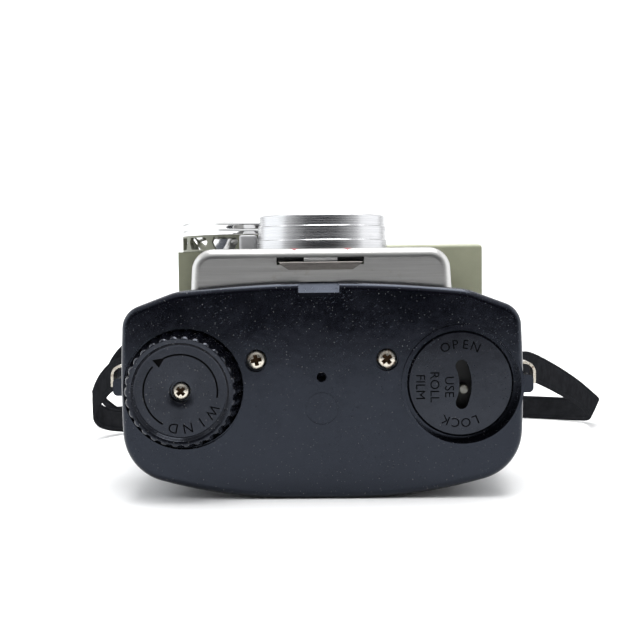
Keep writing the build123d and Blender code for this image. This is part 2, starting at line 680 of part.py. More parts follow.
NECK_HALF = SLOT_RIGHT - LEVER_TRAVEL - 0.3
LEVER_T = 0.8
LIP_FRONT, LIP_BACK, LIP_Z = 1.9, 2.8, 59.4
with BuildPart() as exposure_lever:
    with BuildSketch(Plane.XY.offset(PLATE_Z)):
        with BuildLine():
            Polyline((-11.0, BOTTOM_Y + 6.4), (11.0, BOTTOM_Y + 6.4), (11.0, BOTTOM_Y + 13.0),
                     (-11.0, BOTTOM_Y + 13.0), close=True)
        make_face()
    extrude(amount=LEVER_T)
    # neck: a tab that fills the slot's upper half, folded back to the tongue that carries the lip
    with BuildSketch(Plane.YZ.offset(-NECK_HALF)):
        with BuildLine():
            Polyline((BOTTOM_Y + 3.7, PLATE_Z), (BOTTOM_Y + 3.7, PLATE_Z + LEVER_T),
                     (BOTTOM_Y + 6.4, PLATE_Z + LEVER_T), (BOTTOM_Y + 6.4, LIP_Z - 0.55),
                     (BOTTOM_Y + LIP_BACK, LIP_Z - 0.55), (BOTTOM_Y + LIP_BACK, LIP_Z),
                     (BOTTOM_Y + 5.6, LIP_Z), (BOTTOM_Y + 5.6, PLATE_Z), close=True)
        make_face()
    extrude(amount=2 * NECK_HALF)
    # thumb lip, wide at its root
    with BuildSketch(level(LIP_FRONT)):
        with BuildLine():
            Polyline((-10.5, LIP_Z), (10.5, LIP_Z), (10.0, 58.7), (8.0, 57.4), (-8.0, 57.4), (-10.0, 58.7),
                     close=True)
        make_face()
        fillet(vertices().group_by(Axis.Y)[0], 0.6)
    extrude(amount=-(LIP_BACK - LIP_FRONT))
    chamfer(exposure_lever.faces().sort_by(Axis.Y)[0].edges().sort_by(Axis.Z)[-1], 0.2, 0.55,
            reference=exposure_lever.faces().sort_by(Axis.Y)[0])
save(exposure_lever, "exposure_lever")

with BuildPart() as aperture_plate:
    with BuildSketch(Plane.XY.offset(PLATE_Z)):
        with Locations((0, BOTTOM_Y + 27.5)):
            RectangleRounded(24, 29, 2)
        with Locations((-LEVER_TRAVEL, LENS_Y)):
            Circle(3.4, mode=Mode.SUBTRACT)
        with Locations((LEVER_TRAVEL, LENS_Y)):
            Circle(2.2, mode=Mode.SUBTRACT)
    extrude(amount=0.6)
save(aperture_plate, "aperture_plate")

# ---------------------------------------------------------------- lens

TIERS = ((18.1, 65.4), (17.75, 69.2), (17.4, 72.0))

with BuildPart() as lens_barrel:
    barrel_points = [(16.6, 61.2), (16.9, 61.2), (16.9, HOUSING_Z), (TIERS[0][0], HOUSING_Z)]
    for index, (radius, top) in enumerate(TIERS):
        barrel_points.append((radius, top - 0.25))
        barrel_points.append((radius - 0.25, top))
        if index < len(TIERS) - 1:
            barrel_points.append((TIERS[index + 1][0], top))
    barrel_points += [(16.2, 72.0), (15.9, 71.4), (16.6, 70.6)]
    revolve(profile_face(optical_plane(0, LENS_Y), barrel_points), axis=optical_axis(0, LENS_Y))
save(lens_barrel, "lens_barrel")

with BuildPart() as lens_cone:
    revolve(profile_face(optical_plane(0, LENS_Y), (
        (5.6, 61.3), (8.0, 61.3), (8.0, 63.4), (10.2, 64.4), (10.2, 65.4), (12.4, 66.2), (12.4, 67.2),
        (14.6, 68.0), (14.6, 69.0), (16.5, 69.6), (16.5, 70.5), (14.9, 70.2), (13.4, 69.4), (13.4, 68.6),
        (11.2, 67.6), (11.2, 66.8), (9.0, 65.8), (9.0, 65.0), (6.45, 64.6), (6.45, 61.8), (5.6, 61.8))),
        axis=optical_axis(0, LENS_Y))
save(lens_cone, "lens_cone")

GLASS_TOP_Z, GLASS_CURVE_R = 64.0, 18.4
with BuildPart() as lens_glass:
    with BuildSketch(Plane.XY.offset(61.9)):
        with Locations((0, LENS_Y)):
            Circle(6.4)
    extrude(amount=3)
    with Locations((0, LENS_Y, GLASS_TOP_Z - GLASS_CURVE_R)):
        Sphere(GLASS_CURVE_R, mode=Mode.INTERSECT)
save(lens_glass, "lens_glass")

with BuildPart() as lens_retainer:
    revolve(profile_face(optical_plane(0, LENS_Y), (
        (5.3, 63.35), (6.4, 63.0), (6.4, 64.4), (5.6, 64.4), (5.3, 64.0))), axis=optical_axis(0, LENS_Y))
save(lens_retainer, "lens_retainer")

# ---------------------------------------------------------------- shutter

SHUTTER_Z = 54.4
PIVOT_X, PIVOT_Y = 9.0, LENS_Y + 9.0
BLADE_Z = 56.4

with BuildPart() as shutter_plate:
    with BuildSketch(Plane.XY.offset(SHUTTER_Z)):
        with Locations((0, BOTTOM_Y + 35.5)):
            RectangleRounded(50, 50, 3)
        with Locations((0, LENS_Y)):
            Circle(3.8, mode=Mode.SUBTRACT)
        with Locations((FLASH_X, FLASH_Y)):
            Circle(6.6, mode=Mode.SUBTRACT)
    extrude(amount=1.0)
    with BuildSketch(Plane.XY.offset(SHUTTER_Z)):
        with Locations((PIVOT_X, PIVOT_Y)):
            Circle(1.0)
    extrude(amount=3.4)
save(shutter_plate, "shutter_plate")

with BuildPart() as shutter_blade:
    with BuildSketch(Plane.XY.offset(BLADE_Z)):
        with Locations((0, LENS_Y)):
            Circle(5.6)
        with Locations((PIVOT_X, PIVOT_Y)):
            Circle(2.6)
        with Locations(Location((PIVOT_X / 2, (LENS_Y + PIVOT_Y) / 2), 45)):
            Rectangle(12.0, 4.2)
        with Locations((PIVOT_X, PIVOT_Y)):
            Circle(1.06, mode=Mode.SUBTRACT)
    extrude(amount=0.3)
save(shutter_blade, "shutter_blade")

with BuildPart() as blade_spring:
    blade_spring_points = ((4.0, BOTTOM_Y + 58.0), (15.0, BOTTOM_Y + 58.0), (18.5, BOTTOM_Y + 46.0))
    extrude(strip_face(Plane.XY.offset(BLADE_Z), blade_spring_points, 2.5, 0.4), amount=1.0)
save(blade_spring, "blade_spring")

RELEASE_LOW, RELEASE_LENGTH, RELEASE_W = 37.0, 7.8, 4.7
with BuildPart() as shutter_release:
    with BuildSketch(Plane.XY.offset(63.1)):
        with Locations((RELEASE_X, BOTTOM_Y + RELEASE_LOW + RELEASE_LENGTH / 2)):
            RectangleRounded(RELEASE_W, RELEASE_LENGTH, 1.0)
    extrude(amount=4.1)
    fillet(shutter_release.faces().sort_by(Axis.Z)[-1].edges(), 0.6)
    with BuildSketch(Plane.XY.offset(56.0)):
        with Locations((RELEASE_X, BOTTOM_Y + RELEASE_LOW + RELEASE_LENGTH / 2)):
            Rectangle(1.6, 6.0)
    extrude(amount=7.3)
save(shutter_release, "shutter_release")

with BuildPart() as release_spring:
    release_spring_points = ((RELEASE_X + 3.0, BOTTOM_Y + 16.0), (RELEASE_X - 1.0, BOTTOM_Y + 28.0),
                             (RELEASE_X + 1.8, BOTTOM_Y + 31.0))
    extrude(strip_face(Plane.XY.offset(56.4), release_spring_points, 1.5, 0.4), amount=1.2)
save(release_spring, "release_spring")

# ---------------------------------------------------------------- top cover

FINDER_FRONT = (17.0, 12.5)
FINDER_REAR = (12.0, 9.0)
FINDER_LOW_Z = 5.5
cover_low_z = SPLIT_Z + SEAM

with BuildPart() as top_cover:
    cover_centre = (COVER_LEFT + COVER_RIGHT) / 2
    cover_width = COVER_RIGHT - COVER_LEFT
    cover_depth = CAMERA_H - COVER_LOW
    cover_mid_y = BOTTOM_Y + (COVER_LOW + CAMERA_H) / 2
    with BuildSketch(Plane.XY.offset(cover_low_z)):
        with Locations((cover_centre, cover_mid_y)):
            Rectangle(cover_width, cover_depth)
        fillet(vertices().group_by(Axis.Y)[-1], 5.0)
    extrude(amount=COVER_Z - cover_low_z)
    fillet(top_cover.faces().sort_by(Axis.Z)[-1].edges(), 1.2)
    with BuildSketch(Plane.XY.offset(FLASH_SIDE_Z)):
        with Locations(((COVER_LEFT - 2 + FLASH_SIDE_X) / 2, cover_mid_y)):
            Rectangle(FLASH_SIDE_X - COVER_LEFT + 2, cover_depth + 4)
    extrude(amount=4, mode=Mode.SUBTRACT)
    with BuildSketch(Plane.XY.offset(cover_low_z)):
        with Locations((cover_centre, cover_mid_y)):
            Rectangle(cover_width - 2 * COVER_T, cover_depth - 2 * COVER_T)
        fillet(vertices().group_by(Axis.Y)[-1], 3.2)
    extrude(amount=FLASH_SIDE_Z - COVER_T - cover_low_z, mode=Mode.SUBTRACT)
    # front window of the finder, and the flash opening
    with BuildSketch(Plane.XY.offset(55)):
        with Locations((FINDER_X, FINDER_Y)):
            Rectangle(*FINDER_FRONT)
    extrude(amount=12, mode=Mode.SUBTRACT)
    with BuildSketch(Plane.XY.offset(cover_low_z)):
        with Locations((FLASH_X, FLASH_Y)):
            Circle(6.6)
    extrude(amount=12, mode=Mode.SUBTRACT)
    with BuildSketch(Plane.XY.offset(55.4)):
        with Locations((FLASH_X, FLASH_Y)):
            Circle(BOWL_HOLE_R)
    extrude(amount=12, mode=Mode.SUBTRACT)
    # hole for the bulb ejector
    with BuildSketch(level(CAMERA_H + 1)):
        with Locations((FLASH_X, EJECT_Z)):
            Circle(3.5)
    extrude(amount=4, mode=Mode.SUBTRACT)
save(top_cover, "top_cover")

with BuildPart() as finder_tunnel:
    with BuildSketch(Plane.XY.offset(FINDER_LOW_Z)):
        with Locations((FINDER_X, FINDER_Y)):
            Rectangle(*FINDER_REAR)
    with BuildSketch(Plane.XY.offset(62.2)):
        with Locations((FINDER_X, FINDER_Y)):
            Rectangle(FINDER_FRONT[0] - 0.2, FINDER_FRONT[1] - 0.2)
    loft()
    with BuildSketch(Plane.XY.offset(FINDER_LOW_Z)):
        with Locations((FINDER_X, FINDER_Y)):
            Rectangle(FINDER_REAR[0] - 2, FINDER_REAR[1] - 2)
    with BuildSketch(Plane.XY.offset(62.2)):
        with Locations((FINDER_X, FINDER_Y)):
            Rectangle(FINDER_FRONT[0] - 2.2, FINDER_FRONT[1] - 2.2)
    loft(mode=Mode.SUBTRACT)
save(finder_tunnel, "finder_tunnel")

with BuildPart() as finder_front_lens:
    with BuildSketch(Plane.XY.offset(62.3)):
        with Locations((FINDER_X, FINDER_Y)):
            Rectangle(FINDER_FRONT[0] - 0.1, FINDER_FRONT[1] - 0.1)
    extrude(amount=1.4)
    with Locations((FINDER_X, FINDER_Y, 62.3 - 17.2)):
        Sphere(17.8, mode=Mode.SUBTRACT)
save(finder_front_lens, "finder_front_lens")

with BuildPart() as finder_eye_lens:
    with BuildSketch(Plane.XY.offset(FINDER_LOW_Z + 0.4)):
        with Locations((FINDER_X, FINDER_Y)):
            Rectangle(FINDER_REAR[0] - 2.1, FINDER_REAR[1] - 2.1)
    extrude(amount=1.6)
save(finder_eye_lens, "finder_eye_lens")

# ---------------------------------------------------------------- flash

COLLAR_R = 20.9
WINDOWS = 13
WINDOW_SHARE = 0.38       # the first window is turned by this share of a pitch
with BuildPart() as flash_collar:
    revolve(profile_face(optical_plane(FLASH_X, FLASH_Y), (
        (19.4, FLASH_SIDE_Z), (COLLAR_R, FLASH_SIDE_Z), (COLLAR_R, RIM_LOW_Z), (19.4, RIM_LOW_Z))),
        axis=optical_axis(FLASH_X, FLASH_Y))
    with BuildPart(mode=Mode.PRIVATE) as opening:
        with BuildSketch(Plane.XZ.offset(15)):
            with Locations((0, (FLASH_SIDE_Z + RIM_LOW_Z) / 2)):
                Rectangle(7.4, 3.4)
        extrude(amount=10)
    for index in range(WINDOWS):
        turned_opening = opening.part.rotate(Axis.Z, (index + WINDOW_SHARE) * 360 / WINDOWS)
        add(turned_opening.translate((FLASH_X, FLASH_Y, 0)), mode=Mode.SUBTRACT)
save(flash_collar, "flash_collar")

with BuildPart() as reflector_rim:
    with BuildSketch(optical_plane(FLASH_X, FLASH_Y)):
        with Locations((FLASH_R - 0.95, (RIM_LOW_Z + RIM_HIGH_Z) / 2)):
            RectangleRounded(1.9, RIM_HIGH_Z - RIM_LOW_Z, 0.6)
    revolve(axis=optical_axis(FLASH_X, FLASH_Y))
save(reflector_rim, "reflector_rim")

BOWL_TOP_Z, BOWL_LOW_Z, BOWL_T = 70.6, 56.6, 0.6
with BuildPart() as flash_reflector:
    with BuildSketch(optical_plane(FLASH_X, FLASH_Y)):
        with BuildLine():
            Line((5.5, BOWL_LOW_Z), (5.5, BOWL_LOW_Z + BOWL_T))
            ThreePointArc((5.5, BOWL_LOW_Z + BOWL_T), (13.6, 62.5), (18.9, BOWL_TOP_Z))
            Line((18.9, BOWL_TOP_Z), (19.55, BOWL_TOP_Z))
            ThreePointArc((19.55, BOWL_TOP_Z), (14.1, 62.1), (5.5, BOWL_LOW_Z))
        make_face()
    revolve(axis=optical_axis(FLASH_X, FLASH_Y))
save(flash_reflector, "flash_reflector")

with BuildPart() as bulb_socket:
    revolve(profile_face(optical_plane(FLASH_X, FLASH_Y), (
        (SOCKET_R, 46.5), (5.3, 46.5), (5.3, 58.4), (SOCKET_R, 58.4))),
        axis=optical_axis(FLASH_X, FLASH_Y))
save(bulb_socket, "bulb_socket")

with BuildPart() as socket_insulator:
    revolve(profile_face(optical_plane(FLASH_X, FLASH_Y), (
        (1.1, 45.0), (5.3, 45.0), (5.3, 46.4), (1.1, 46.4))),
        axis=optical_axis(FLASH_X, FLASH_Y))
save(socket_insulator, "socket_insulator")

with BuildPart() as socket_contact:
    revolve(profile_face(optical_plane(FLASH_X, FLASH_Y), (
        (0, 44.6), (1.05, 44.6), (1.05, 46.1), (0.6, 46.45), (0, 46.45))),
        axis=optical_axis(FLASH_X, FLASH_Y))
save(socket_contact, "socket_contact")

with BuildPart() as ejector_button:
    revolve(profile_face(height_plane(FLASH_X, EJECT_Z), (
        (0, CAMERA_H - 13.0), (1.3, CAMERA_H - 13.0), (1.3, CAMERA_H - 2.4), (3.4, CAMERA_H - 2.4),
        (3.4, CAMERA_H - 0.6), (2.8, CAMERA_H), (0, CAMERA_H))),
        axis=height_axis(FLASH_X, EJECT_Z))
save(ejector_button, "ejector_button")

TOP_Y = BOTTOM_Y + CAMERA_H
with BuildPart() as ejector_spring:
    eject_spring_points = ((FLASH_X + 13.0, TOP_Y - 3.2), (FLASH_X + 5.0, TOP_Y - 3.2), (FLASH_X + 2.4, TOP_Y - 7.0))
    extrude(strip_face(Plane.XY.offset(EJECT_Z - 0.6), eject_spring_points, 1.5, 0.35), amount=1.2)
save(ejector_spring, "ejector_spring")

# ---------------------------------------------------------------- battery compartment

TRAY_LEFT, TRAY_RIGHT = -44.2, 15.5
TRAY_LOW_Z, TRAY_HIGH_Z = 8.2, 40.0
TRAY_WALL_Z = 11.5
with BuildPart() as battery_tray:
    with BuildSketch(level(FRAME_HIGH)):
        with BuildLine():
            Polyline((TRAY_LEFT, 11.5), (TRAY_LEFT + 6, TRAY_LOW_Z), (TRAY_RIGHT, TRAY_LOW_Z),
                     (TRAY_RIGHT, TRAY_HIGH_Z), (TRAY_LEFT, TRAY_HIGH_Z), close=True)
        make_face()
    extrude(amount=-1.6)
    for wall_left in (TRAY_LEFT, TRAY_RIGHT - 1.2):
        with BuildSketch(level(FRAME_HIGH + 1.6)):
            with Locations((wall_left + 0.6, (TRAY_WALL_Z + TRAY_HIGH_Z) / 2)):
                Rectangle(1.2, TRAY_HIGH_Z - TRAY_WALL_Z)
        extrude(amount=-22.0)
save(battery_tray, "battery_tray")

with BuildPart() as batteries:
    for cell_z in CELL_ZS:
        cell_axis = Axis((CELL_X, BOTTOM_Y + CELL_HEIGHT, cell_z), (1, 0, 0))
        cell_plane = Plane(origin=(CELL_X, BOTTOM_Y + CELL_HEIGHT, cell_z), x_dir=(1, 0, 0), z_dir=(0, 0, 1))
        revolve(profile_face(cell_plane, (
            (0, 0), (0, CELL_R - 1.0), (0.6, CELL_R), (CELL_LENGTH - 1.9, CELL_R),
            (CELL_LENGTH - 1.2, CELL_R - 0.8), (CELL_LENGTH - 1.2, 2.7), (CELL_LENGTH, 2.7),
            (CELL_LENGTH, 0))), axis=cell_axis)
save(batteries, "batteries")

with BuildPart() as battery_contact:
    with BuildSketch(Plane.YZ.offset(CELL_X - 0.9)):
        with Locations((BOTTOM_Y + CELL_HEIGHT, sum(CELL_ZS) / 2)):
            RectangleRounded(8, 24, 1.5)
    extrude(amount=0.5)
save(battery_contact, "battery_contact")

with BuildPart() as battery_springs:
    for cell_z in CELL_ZS:
        spring_points = ((TRAY_RIGHT - 1.7, cell_z - 5.0), (TRAY_RIGHT - 1.7, cell_z + 4.6),
                         (TRAY_RIGHT - 5.6, cell_z + 1.0), (TRAY_RIGHT - 5.9, cell_z - 4.0))
        extrude(strip_face(level(CELL_HEIGHT - 2.5), spring_points, 0.9, 0.4), amount=-5.0)
save(battery_springs, "battery_springs")
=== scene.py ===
import json
from math import atan2, cos, exp, pi, radians, sin, tan

import bmesh
import bpy
from mathutils import Matrix, Vector


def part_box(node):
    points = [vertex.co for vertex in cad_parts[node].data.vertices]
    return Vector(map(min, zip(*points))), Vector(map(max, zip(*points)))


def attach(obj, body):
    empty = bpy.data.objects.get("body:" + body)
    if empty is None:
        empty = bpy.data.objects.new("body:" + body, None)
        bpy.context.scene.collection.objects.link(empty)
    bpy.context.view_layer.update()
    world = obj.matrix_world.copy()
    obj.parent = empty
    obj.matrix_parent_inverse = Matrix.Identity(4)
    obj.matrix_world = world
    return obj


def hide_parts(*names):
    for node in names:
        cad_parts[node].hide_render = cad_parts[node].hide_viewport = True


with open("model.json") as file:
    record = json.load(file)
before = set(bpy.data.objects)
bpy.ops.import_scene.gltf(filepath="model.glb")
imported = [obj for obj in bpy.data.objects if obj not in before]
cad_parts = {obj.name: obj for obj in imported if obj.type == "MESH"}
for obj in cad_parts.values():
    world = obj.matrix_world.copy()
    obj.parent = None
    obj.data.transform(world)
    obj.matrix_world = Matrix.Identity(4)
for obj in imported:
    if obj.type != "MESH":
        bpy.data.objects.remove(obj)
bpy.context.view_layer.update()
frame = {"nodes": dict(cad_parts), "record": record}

# Lengths below are in millimetres, and MM turns them into the frame's metres.
MM = 0.001


def centre(node):
    low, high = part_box(node)
    return (low + high) / 2 / MM


# Places read from the frame
RIM_RISE = 0.8            # the lock well's rim stands this far out of the bottom face
BOTTOM_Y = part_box("bottom_plate")[0].y / MM + RIM_RISE
KNOB = centre("wind_knob")
LOCK = centre("lock_disc")
LENS = centre("lens_barrel")
FLASH = centre("reflector_rim")
HOUSING_TOP_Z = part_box("front_housing")[1].z / MM
RIM_LOW_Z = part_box("reflector_rim")[0].z / MM
RIM_HIGH_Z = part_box("reflector_rim")[1].z / MM
COLLAR_LOW_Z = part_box("flash_collar")[0].z / MM

SHARP_EDGE = 32.0         # degrees between faces from which an edge is drawn sharp

# ---------------------------------------------------------------- camera, light and floor


def make_camera():
    """Eye 260 mm in front of the camera's bottom, turned a little left, down and round."""
    eye = Vector((3.65, BOTTOM_Y - 260.0, 58.8)) * MM
    yaw, pitch, roll = radians(0.86), radians(3.05), radians(0.6)
    forward = Vector((-sin(yaw) * cos(pitch), cos(yaw) * cos(pitch), -sin(pitch)))
    level_right = forward.cross(Vector((0, 0, 1))).normalized()
    level_up = level_right.cross(forward)
    right = level_right * cos(roll) - level_up * sin(roll)
    up = level_right * sin(roll) + level_up * cos(roll)
    data = bpy.data.cameras.new("photo_camera")
    data.sensor_width = 36.0
    data.lens = 59.05
    data.clip_start = 0.01
    data.clip_end = 20.0
    camera = bpy.data.objects.new("photo_camera", data)
    rotation = Matrix((right, up, -forward)).transposed()
    camera.matrix_world = Matrix.Translation(eye) @ rotation.to_4x4()
    bpy.context.scene.collection.objects.link(camera)
    bpy.context.scene.camera = camera


def area_light(name, place, target, size, power, tint=(1, 1, 1)):
    data = bpy.data.lights.new(name, "AREA")
    data.shape = "RECTANGLE"
    data.size, data.size_y = size
    data.energy = power
    data.color = tint
    light = bpy.data.objects.new(name, data)
    light.location = place
    light.rotation_euler = (Vector(target) - Vector(place)).to_track_quat("-Z", "Y").to_euler()
    bpy.context.scene.collection.objects.link(light)


def make_world():
    """A white tent that is open, and dark, towards the viewer; seen directly it is white all round."""
    world = bpy.data.worlds.new("tent")
    world.use_nodes = True
    bpy.context.scene.world = world
    tree = world.node_tree
    background = tree.nodes["Background"]
    where = add_node(tree, "ShaderNodeTexCoord")
    parts = add_node(tree, "ShaderNodeSeparateXYZ", {"Vector": where.outputs["Generated"]})
    facing = add_node(tree, "ShaderNodeMapRange", {
        "Value": parts.outputs["Y"], "From Min": -0.92, "From Max": -0.25, "To Min": 0.0, "To Max": 1.0})
    height = add_node(tree, "ShaderNodeMapRange", {
        "Value": parts.outputs["Z"], "From Min": 0.40, "From Max": 0.80, "To Min": 0.0, "To Max": 1.0})
    either = add_node(tree, "ShaderNodeMath", {0: facing.outputs[0], 1: height.outputs[0]},
                      operation="MAXIMUM")
    tent = blend(tree, either.outputs[0], (0.02, 0.022, 0.028, 1), (0.98, 0.99, 1.0, 1))
    path = add_node(tree, "ShaderNodeLightPath")
    shown = blend(tree, path.outputs["Is Camera Ray"], tent, (1.0, 1.0, 1.0, 1))
    tree.links.new(shown, background.inputs["Color"])
    background.inputs["Strength"].default_value = 1.0


def make_floor():
    """A pale sheet that runs flat, then curves up far behind the object."""
    front, bend_start, bend_radius, top, half_width = -0.50, 1.2, 0.6, 1.8, 1.6
    outline = [(front, 0.0), (bend_start, 0.0)]
    steps = 12
    for step in range(1, steps + 1):
        turn = pi / 2 * step / steps
        outline.append((bend_start + bend_radius * sin(turn), bend_radius * (1 - cos(turn))))
    outline.append((bend_start + bend_radius, top))
    mesh = bpy.data.meshes.new("paper_sweep")
    verts = [(side * half_width, y, z) for y, z in outline for side in (-1, 1)]
    faces = [(2 * i, 2 * i + 1, 2 * i + 3, 2 * i + 2) for i in range(len(outline) - 1)]
    mesh.from_pydata(verts, [], faces)
    mesh.polygons.foreach_set("use_smooth", [True] * len(mesh.polygons))
    sheet = bpy.data.objects.new("paper_sweep", mesh)
    bpy.context.scene.collection.objects.link(sheet)
    mat, tree, shader = new_material("white_paper")
    fibres = add_node(tree, "ShaderNodeTexNoise",
                      {"Vector": millimetres(tree), "Scale": 0.8, "Detail": 4.0})
    tone = add_node(tree, "ShaderNodeMapRange",
                    {"Value": fibres.outputs["Fac"], "To Min": 0.91, "To Max": 0.94})
    tree.links.new(tone.outputs[0], shader.inputs["Base Color"])
    shader.inputs["Roughness"].default_value = 0.7
    shader.inputs["Specular IOR Level"].default_value = 0.2
    mesh.materials.append(mat)


# ---------------------------------------------------------------- material helpers


def new_material(name):
    mat = bpy.data.materials.new(name)
    mat.use_nodes = True
    tree = mat.node_tree
    return mat, tree, tree.nodes["Principled BSDF"]


def add_node(tree, kind, inputs=None, **settings):
    """Adds a node; an input is a socket to link from or a plain value."""
    node = tree.nodes.new(kind)
    for setting, value in settings.items():
        setattr(node, setting, value)
    for key, value in (inputs or {}).items():
        if key in ("A", "B") and getattr(node, "data_type", "") == "RGBA":
            sockets = [s for s in node.inputs if s.name == key and s.type == "RGBA"]
            socket = sockets[0]
        elif key == "Factor" and kind == "ShaderNodeMix":
            socket = node.inputs[0]
        else:
            socket = node.inputs[key]
        if isinstance(value, bpy.types.NodeSocket):
            tree.links.new(value, socket)
        else:
            socket.default_value = value
    return node


def millimetres(tree, stretch=(1, 1, 1)):
    """Coordinates on the object in millimetres, stretched along its axes."""
    where = add_node(tree, "ShaderNodeTexCoord")
    scaled = add_node(tree, "ShaderNodeMapping", {"Vector": where.outputs["Object"],
                                                  "Scale": tuple(s / MM for s in stretch)})
    return scaled.outputs["Vector"]


def noise(tree, vector, scale, detail=4.0, roughness=0.55):
    node = add_node(tree, "ShaderNodeTexNoise", {"Vector": vector, "Scale": scale, "Detail": detail,
                                                 "Roughness": roughness})
    return node.outputs["Fac"]


def remap(tree, value, from_low, from_high, to_low, to_high):
    node = add_node(tree, "ShaderNodeMapRange", {
        "Value": value, "From Min": from_low, "From Max": from_high, "To Min": to_low, "To Max": to_high})
    return node.outputs[0]


def blend(tree, factor, low, high):
    node = add_node(tree, "ShaderNodeMix", {"Factor": factor, "A": low, "B": high}, data_type="RGBA")
    return [s for s in node.outputs if s.type == "RGBA"][0]


def maths(tree, operation, first, second=0.0):
    node = add_node(tree, "ShaderNodeMath", {0: first, 1: second}, operation=operation)
    return node.outputs[0]


def bump(tree, shader, height, depth_mm):
    node = add_node(tree, "ShaderNodeBump", {"Height": height, "Strength": 1.0, "Distance": depth_mm * MM})
    tree.links.new(node.outputs["Normal"], shader.inputs["Normal"])


def scratch_mask(tree, turn):
    """Thin broken lines that run at the given turn, in degrees."""
    threshold = 0.66
    where = add_node(tree, "ShaderNodeTexCoord")
    turned = add_node(tree, "ShaderNodeMapping", {"Vector": where.outputs["Object"],
                                                  "Rotation": (0.0, radians(turn), radians(turn / 2))})
    stretched = add_node(tree, "ShaderNodeMapping", {"Vector": turned.outputs[0],
                                                     "Scale": (45.0, 2600.0, 2600.0)})
    lines = noise(tree, stretched.outputs[0], 1.0, 2.0, 0.4)
    patches = noise(tree, millimetres(tree), 0.05 + turn / 4000, 2.0)
    lines = remap(tree, lines, threshold, threshold + 0.05, 0.0, 1.0)
    return maths(tree, "MULTIPLY", lines, remap(tree, patches, 0.48, 0.62, 0.0, 1.0))


def moulding(name, base, worn, low_rough, high_rough, dust, ripple=0.04, wear=0.5,
             reflection=(1.0, 1.0, 1.0), gloss=0.5):
    """Moulded plastic: smudged gloss, fine scratches, dust, and edges rubbed paler.

    dust is the strength of the specks, ripple the depth in mm of the moulding's unevenness,
    wear how far edges and scratches go to the worn colour.
    """
    mat, tree, shader = new_material(name)
    mm = millimetres(tree)
    smudge = noise(tree, mm, 0.09, 5.0, 0.6)
    grime = noise(tree, mm, 0.6, 6.0, 0.65)
    scratches = maths(tree, "MAXIMUM", scratch_mask(tree, 35.0), scratch_mask(tree, 118.0))
    specks = remap(tree, noise(tree, mm, 2.6, 1.0, 0.3), 0.735, 0.76, 0.0, dust)
    tone = remap(tree, smudge, 0.35, 0.7, 0.0, 0.6)
    colour = blend(tree, tone, (*base, 1), tuple(0.75 * c for c in base) + (1,))
    colour = blend(tree, maths(tree, "MULTIPLY", scratches, wear * 0.5), colour, (*worn, 1))
    edges = edge_mask(tree, 0.25)
    rubbed = maths(tree, "MULTIPLY", edges, remap(tree, grime, 0.42, 0.62, 0.0, wear))
    colour = blend(tree, rubbed, colour, (*worn, 1))
    colour = blend(tree, specks, colour, (0.34, 0.33, 0.31, 1))
    tree.links.new(colour, shader.inputs["Base Color"])
    shader.inputs["Specular Tint"].default_value = (*reflection, 1)
    shader.inputs["Specular IOR Level"].default_value = gloss
    rough = remap(tree, smudge, 0.3, 0.72, low_rough, high_rough)
    rough = maths(tree, "ADD", rough, maths(tree, "MULTIPLY", scratches, 0.22))
    rough = maths(tree, "ADD", rough, maths(tree, "MULTIPLY", specks, 0.4))
    rough = maths(tree, "ADD", rough, remap(tree, grime, 0.4, 0.7, 0.0, 0.06))
    tree.links.new(rough, shader.inputs["Roughness"])
    waves = noise(tree, mm, 0.16, 2.0)
    relief = maths(tree, "SUBTRACT", waves, maths(tree, "MULTIPLY", scratches, 0.12))
    relief = maths(tree, "ADD", relief, maths(tree, "MULTIPLY", specks, 0.6))
    bump(tree, shader, relief, ripple)
    return mat


def edge_mask(tree, radius_mm):
    """1 on sharp edges, 0 on flats."""
    rounded = add_node(tree, "ShaderNodeBevel", {"Radius": radius_mm * MM}, samples=4)
    geometry = add_node(tree, "ShaderNodeNewGeometry")
    meeting = add_node(tree, "ShaderNodeVectorMath",
                       {0: rounded.outputs["Normal"], 1: geometry.outputs["Normal"]},
                       operation="DOT_PRODUCT")
    return remap(tree, meeting.outputs["Value"], 0.985, 0.80, 0.0, 1.0)


def brushed(name, base, dark, stretch, low_rough, high_rough, depth=0.01,
            stain=(0.30, 0.24, 0.15)):
    """Metal brushed along one axis, with faint tarnish and handling marks."""
    mat, tree, shader = new_material(name)
    shader.inputs["Metallic"].default_value = 1.0
    fine = noise(tree, millimetres(tree, stretch), 1.0, 5.0, 0.7)
    coarse = noise(tree, millimetres(tree, tuple(0.3 * s for s in stretch)), 1.0, 3.0, 0.6)
    tarnish = noise(tree, millimetres(tree), 0.22, 6.0, 0.65)
    streaks = maths(tree, "ADD", maths(tree, "MULTIPLY", fine, 0.6),
                    maths(tree, "MULTIPLY", coarse, 0.4))
    colour = blend(tree, remap(tree, streaks, 0.3, 0.7, 0.0, 1.0), (*dark, 1), (*base, 1))
    colour = blend(tree, remap(tree, tarnish, 0.62, 0.80, 0.0, 0.55), colour, (*stain, 1))
    tree.links.new(colour, shader.inputs["Base Color"])
    tree.links.new(remap(tree, streaks, 0.3, 0.7, low_rough, high_rough), shader.inputs["Roughness"])
    bump(tree, shader, streaks, depth)
    return mat


